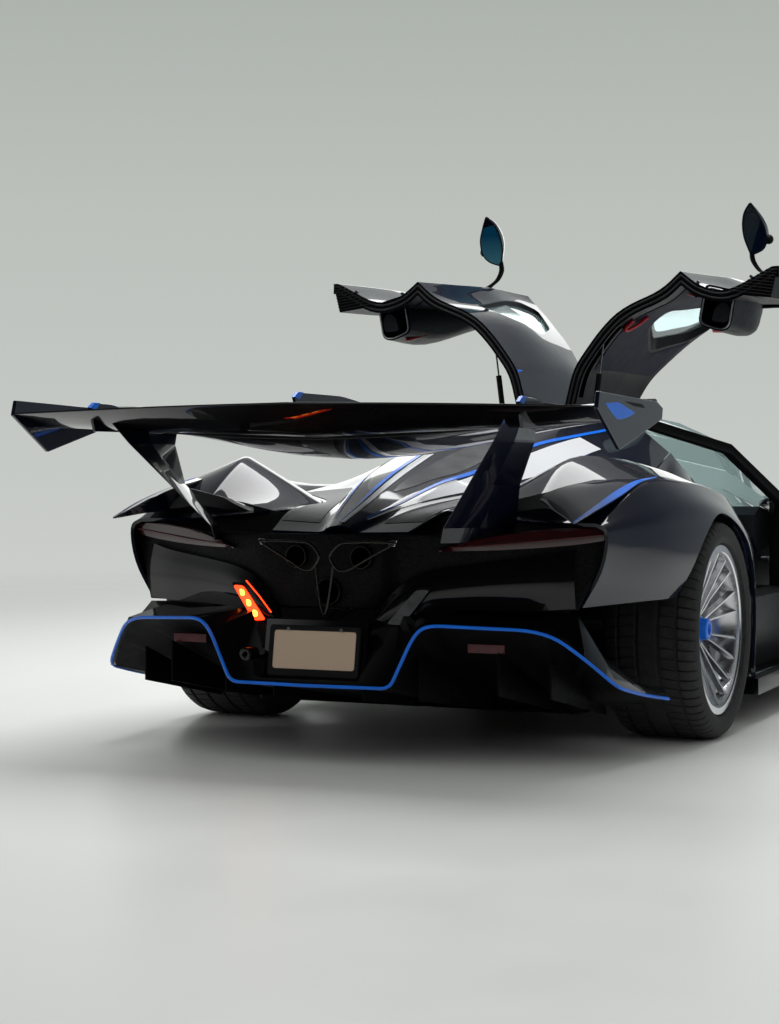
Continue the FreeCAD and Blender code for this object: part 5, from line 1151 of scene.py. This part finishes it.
# A tyre's radius and width, and the radius of the rim's seat, in metres.
TYRES = {"rear": (0.364, 0.325, 0.267), "front": (0.347, 0.265, 0.254)}
TREAD_BLOCKS = 66
GROOVES = ((-0.30, 5.5), (-0.11, 6.5), (0.11, 6.5), (0.30, 5.5))  # share of the width, half the groove's
GROOVE_DEPTH = 6.5  # millimetres, as the grooves' widths
SHOULDER_CUT, BLOCK_CUT = 0.0055, 0.0035
# Where a block starts and ends and the cut beside it, as shares of the pitch, and which are cut.
BLOCK = ((0.0, False), (0.80, False), (0.84, True), (0.96, True))
DISC_INNER = 0.105
DISC_RADIUS = {"rear": 0.195, "front": 0.190}
HUB_RECESS = {"rear": 0.098, "front": 0.064}  # the tyre's wall in to the hub's face, clear of the caliper
SPOKE_PAIRS, SPOKE_FOOT = 10, 0.058
SPOKE = ((0.0, 0.0080, 0.030), (0.35, 0.0060, 0.026), (1.0, 0.0085, 0.020))  # share out, half width, depth


def tyre_centre(axle, side):
    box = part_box(f"tyre_{axle}_{side}")
    return (Vector(box[0]) + Vector(box[1])) / 2


def offset(radius, outward, table):
    """Points of a section, drawn in millimetres from a radius and a place along the axle."""
    return [(radius + r * MM, outward + w * MM) for r, w in table]


def tyre_ring(radius, width, seat):
    """A tyre's section as (radius, outward): shouldered walls and a grooved tread."""
    edge = -width / 2
    wall = offset(seat, edge, [(0, 30), (20, 30), (24, 10), (40, 3)])
    wall += offset((seat + radius) / 2, edge, [(4, 0.5)])
    wall += offset(radius, edge, [(-30, 5), (-14.5, 13), (-6, 26), (-1.2, 46)])
    tread = []
    for share, reach in GROOVES:
        tread += offset(radius, share * width, [
            (0, -reach - 1), (-GROOVE_DEPTH, -reach + 1.5), (-GROOVE_DEPTH, reach - 1.5), (0, reach + 1)])
    return wall + tread + [(r, -w) for r, w in wall[::-1]]


def make_tyre(axle, side, radius, width, seat):
    """A tyre with grooves and sipes."""
    centre, ring, rows = tyre_centre(axle, side), tyre_ring(radius, width, seat), []
    for k in range(TREAD_BLOCKS):
        for part, low in BLOCK:
            line = []
            for r, w in ring:
                share = abs(w) / width
                skew = share if share > 0.11 else 0.0
                angle = 2 * pi * (k + part + skew) / TREAD_BLOCKS
                sink = 0.0
                if low and share > 0.31 and r > radius - 0.020:
                    sink = SHOULDER_CUT
                elif low and 0.115 < share < 0.29 and r == radius:
                    sink = BLOCK_CUT
                line.append(centre + Vector(((r - sink) * cos(angle), w, (r - sink) * sin(angle))))
            rows.append(line)
    rows.append(rows[0])
    name = f"tyre_{axle}_{side}_skin"
    obj = closed_piece(name, grid(name, rows), "rubber", BODY_OF[f"tyre_{axle}_{side}"], 32)
    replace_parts(obj, f"tyre_{axle}_{side}")


def turned(name, profile, centre, out, look, body, steps=96, angle=30):
    """A closed profile of (radius, outward) turned about a wheel's axis."""
    rows = [[centre + Vector((r * cos(a), out * w, r * sin(a))) for r, w in profile]
            for a in turns_of(steps)]
    return closed_piece(name, grid(name, rows + rows[:1], closed=True), look, body, angle)


def spoke_pair(name, number, centre, sign, seat, front, deep, body):
    """Two spokes that lean apart from the hub to the rim."""
    vertices, faces = [], []
    for lean in (-1, 1):
        base = len(vertices)
        for t, wide, thick in SPOKE:
            r = SPOKE_FOOT + (seat - 0.009 - SPOKE_FOOT) * t
            a = 2 * pi * (number + 0.5) / SPOKE_PAIRS + lean * radians(4.5 * (1 - t) + 8 * t)
            w = deep + (front - 0.004 - deep) * (t ** 1.15)
            along, across = Vector((cos(a), 0, sin(a))), Vector((-sin(a), 0, cos(a)))
            for reach, drop in ((-1, 1), (-0.55, 0), (0.55, 0), (1, 1)):
                vertices.append(centre + along * r + across * wide * reach
                                + Vector((0, sign * (w - thick * drop), 0)))
        faces += [tuple(base + corner for corner in face) for face in grid_faces(3, 4, closed=True)]
        faces += [(base, base + 1, base + 2, base + 3), (base + 11, base + 10, base + 9, base + 8)]
    closed_piece(name, mesh_of(name, vertices, faces), "rim", body, 20, 0.0015)


def make_wheel(axle, side, sign):
    """A deep rim with ten pairs of spokes, a blue nut and the brake disc behind them."""
    tag = f"{axle}_{side}"
    _, width, seat = TYRES[axle]
    half, disc = width / 2, DISC_RADIUS[axle]
    deep = half - HUB_RECESS[axle]
    centre, body = tyre_centre(axle, side), BODY_OF[f"wheel_{tag}"]
    barrel = offset(seat, half, [
        (18, -30), (18, -22), (15, -20), (-6, -20), (-10, -24), (-12, -50), (-26, -75)])
    barrel += offset(seat, -half, [(-28, 80), (-12, 36), (-10, 20), (18, 20), (18, 30), (0, 30)])
    barrel += [(seat - 0.004, 0.0), (seat, half - 0.030)]
    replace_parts(turned(f"rim_{tag}", barrel, centre, sign, "rim", body), f"wheel_{tag}")
    for name, look, steps, angle, profile in (
        ("hub", "rim", 64, 30, offset(0, 0, [(12, 30), (70, 30)])
            + offset(0, deep, [(74, -30), (66, 0), (50, 6), (12, 6)])),
        ("wheel_nut", "blue", 24, 20, offset(0, deep, [
            (14, 0), (40, 0), (42, 12), (38, 14), (36, 36), (30, 40), (20, 40), (14, 26)])),
        ("wheel_cap", "alloy", 32, 30, offset(0, deep, [(0.5, 10), (14.5, 10), (14.5, 18), (0.5, 20)])),
        ("brake_disc", "disc", 96, 30, offset(DISC_INNER, 0, [(0, -17)]) + offset(disc, 0, [
            (0, -17), (0, -5), (-8, -4), (-8, 4), (0, 5), (0, 17)]) + offset(DISC_INNER, 0, [(0, 17)])),
        ("disc_bell", "dark", 64, 30, offset(0, 0, [
            (66, 34), (102, 30), (108, 12), (108, -12), (100, -12), (96, 20), (66, 24)])),
    ):
        turned(f"{name}_{tag}", profile, centre, sign, look, body, steps, angle)
    for k in range(SPOKE_PAIRS):
        spoke_pair(f"spokes_{tag}_{k}", k, centre, sign, seat, half - 0.030, deep, body)


# ---------------------------------------------------------------- tail

# The cheeks' upper and lower edges, from the outside in.
V_LINE = [(-800, 742, 652), (-846, 655, 634), (-905, 480, 612), (-962, 335, 592), (-984, 255, 560),
          (-1000, 190, 492), (-1006, 158, 436)]
CHEEK_FOOT = [(-812, 745, 476), (-848, 655, 470), (-905, 480, 468), (-965, 345, 462), (-985, 292, 456),
              (-1003, 240, 442), (-1008, 200, 430)]
CHEEK_SIZES = [0.05, 0.08, 0.06, 0.03, 0.04]
# The bumper's lip, from the middle out.
LIP = [
    (-1160, 0, 243), (-1141, 271, 243), (-1137, 345, 400), (-1133, 385, 436), (-1090, 500, 430),
    (-1010, 720, 420), (-925, 812, 333), (-850, 889, 246), (-650, 905, 205), (-490, 935, 180),
]
LIP_SIZES = [0.03, 0.05, 0.05, 0.03, 0.09, 0.06, 0.05, 0.08]
# The tail lamp from the outside in. Columns: x, y, low and high z.
LAMP = [(-764, 834, 684, 724), (-800, 742, 670, 722), (-880, 560, 655, 706), (-945, 405, 650, 672),
        (-958, 356, 650, 654)]
LAMP_BAR = [(-785, 822, 700), (-822, 731, 690), (-902, 551, 672), (-965, 396, 660)]
# Corners as (y, z): the slanted lens, one of its cells and the line beside it.
INDICATOR = [(340, 533), (298, 532), (208, 427), (257, 424)]
CELL = [(11, 12), (-9, 8), (-12, -10), (6, -12)]
INDICATOR_LINE = [(286, 548), (232, 500), (186, 452)]
PLATE_HALF, PLATE_HIGH, PLATE_LEAN = 155.5, 158, 9


def make_tail():
    refined("rear_bumper", "gloss", 0.004)
    refined("rear_fascia", "mesh", 0.003)
    half = rounded(drawn(LIP), LIP_SIZES, 6)
    lip = shifted(flip(half[:0:-1]) + half, x=-0.004)
    tube("lip_line", divided(lip, 0.03), 0.0055, "blue", resolution=2)
    top, foot = (rounded(shifted(drawn(line), x=-0.012), CHEEK_SIZES) for line in (V_LINE, CHEEK_FOOT))
    belly = shifted([a.lerp(b, 0.45) for a, b in zip(top, foot)], x=-0.016, z=0.006)
    cheek = [shifted(top, x=0.055, z=-0.006)] + flowing([top, belly, foot], 5)
    lens = flowing([
        drawn([(x + 6, y, high), (x - 10, y - 4, high - 4), (x - 14, y - 4, (low + high) / 2),
               (x - 8, y - 2, low), (x + 8, y, low)])
        for x, y, low, high in LAMP
    ])
    bar = rounded(drawn(LAMP_BAR), 0.05)
    for side, sign in SIDES:
        panel(f"tail_cheek_{side}", on_side(cheek, sign), "gloss", inside=Vector((0, 0, 0.5)), angle=28)
        # The tail lamp: a long lens with a light bar inside.
        lamp = panel(f"tail_lens_{side}", on_side(lens, sign), "red_lens", inside=Vector((0, 0, 0.69)))
        if sign > 0:
            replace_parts(lamp, "tail_lights")
        tube(f"tail_bar_{side}", *on_side([bar], sign), 0.0022, "lens_edge", resolution=2)
        # The reflector inside each tunnel.
        plate = [p(-974, sign * y, z) for y, z in ((452, 344), (572, 344), (572, 372), (452, 372))]
        slab(f"reflector_{side}", plate, (0.008, 0, 0), "bright_red")


def make_indicators():
    """A slanted lens on each cheek, three cells bright on the left, and a thin line beside it."""
    middle = sum((Vector(c) for c in INDICATOR), Vector((0, 0))) / len(INDICATOR)
    wide = [middle + (Vector(c) - middle) * 1.16 for c in INDICATOR]
    for side, sign, look, core, line_look in (
        ("left", 1, "amber", "hot", "amber"), ("right", -1, "grey_lens", "grey_lens", "deep"),
    ):
        def on_cheek(corners, back=0.0):
            return shifted([p(-1020 + 0.22 * (y - 240), sign * y, z) for y, z in corners], x=-back)
        slab(f"indicator_frame_{side}", ringed(on_cheek(wide), 0.014), (0.03, 0, 0), "deep", edge=0.001)
        ring = shifted(ringed(on_cheek(INDICATOR), 0.012), x=-0.004)
        lamp = slab(f"indicator_{side}", ring, (0.02, 0, 0), look)
        if sign > 0:
            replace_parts(lamp, "indicators")
        for k in range(3):
            t = 0.2 + 0.3 * k
            y, z = 319 + (232 - 319) * t, 532 + (426 - 532) * t
            cell = ringed(on_cheek([(y + a, z + b) for a, b in CELL], 0.0055), 0.008, 3)
            slab(f"indicator_cell_{side}_{k}", cell, (0.004, 0, 0), core, edge=0.0008)
        tube(f"indicator_line_{side}", on_cheek(INDICATOR_LINE, 0.002), 0.0022, line_look, resolution=2)


def make_plate():
    """A blank plate in a dark frame with rounded corners."""
    tilt = Matrix.Rotation(radians(PLATE_LEAN), 3, "Y")
    foot = p(-1120, 0, 264)

    def on_plate(x, y, z):
        return foot + tilt @ Vector((x * MM, y * MM, z * MM))

    def ring(shrink, low, x):
        side, bottom, top = PLATE_HALF - shrink, shrink + low, PLATE_HIGH - shrink
        return ringed([on_plate(x, y, z) for y, z in (
            (-side, bottom), (side, bottom), (side, top), (-side, top),
        )], 0.010)

    rows = [ring(0, 0, 6), ring(0, 0, 0), ring(2, 0, -3), ring(14, 8, -3), ring(16, 8, 0), ring(17, 8, 4)]
    build = grid("plate_frame", rows, closed=True)
    even_faces(build, p(-900, 0, 340))
    finished(piece("plate_frame", build, "satin"), 40)
    face = slab("plate_face", ring(16, 8, 0), tilt @ Vector((0.004, 0, 0)), "plate", edge=0.0006)
    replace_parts(face, "number_plate")
    for number, y in enumerate((-90, 90)):
        tube(f"plate_screw_{number}", [on_plate(-6, y, 146), on_plate(2, y, 146)], 0.0055, "alloy")


def make_trident():
    """The outlined exhaust trim: two horns and a lower spike, over the three pipes."""
    horn = drawn([(-1020, 236, 674), (-1026, 150, 676), (-1032, 52, 672), (-1034, 20, 640),
                  (-1034, 18, 622), (-1032, 45, 584), (-1030, 80, 588), (-1026, 160, 634)])
    horn = rounded(horn + horn[:2], 0.018)
    tip = drawn([(-1019, 240, 682), (-1019, 216, 682), (-1024, 212, 664), (-1020, 230, 662)])
    for side, sign in SIDES:
        outline, end = on_side([horn, tip], sign)
        tube(f"trim_horn_{side}", outline, 0.0042, "trim_metal", resolution=2)
        slab(f"trim_tip_{side}", end, (0.012, 0, 0), "chrome")
    spike = drawn([(-1034, 30, 600), (-1036, 16, 500), (-1036, 8, 462), (-1036, 0, 446)])
    spike += flip(spike[-2::-1])
    tube("trim_spike", rounded(spike, 0.02), 0.0038, "trim_metal", resolution=2)


make_world()
make_floor()
make_camera()
SCENE.view_settings.view_transform = "Standard"
area_light("ceiling", (0.3, 0.4, 5.2), (0.3, 0.4, 0), (4.0, 4.4), 300)
area_light("front_wall", (9.0, 4.0, 3.2), (0, 0, 0.8), (6.0, 2.5), 60)

make_rear_fenders()
make_deck_lines(make_deck())
make_wing()
make_end_plates()
make_pylons()
make_door_shell()
make_door_trim()
make_mirrors()
for axle, sizes in TYRES.items():
    for side, _ in SIDES:
        make_tyre(axle, side, *sizes)
for axle in TYRES:
    for side, sign in SIDES:
        make_wheel(axle, side, sign)
make_tail()
make_indicators()
make_plate()
make_trident()
for name in ["bonnet", "front_fenders", "front_bumper", "diffuser", "side_skirts",
             "splitter", "undertray", "tub", "roof_frame", "exhaust"]:
    refined(name)
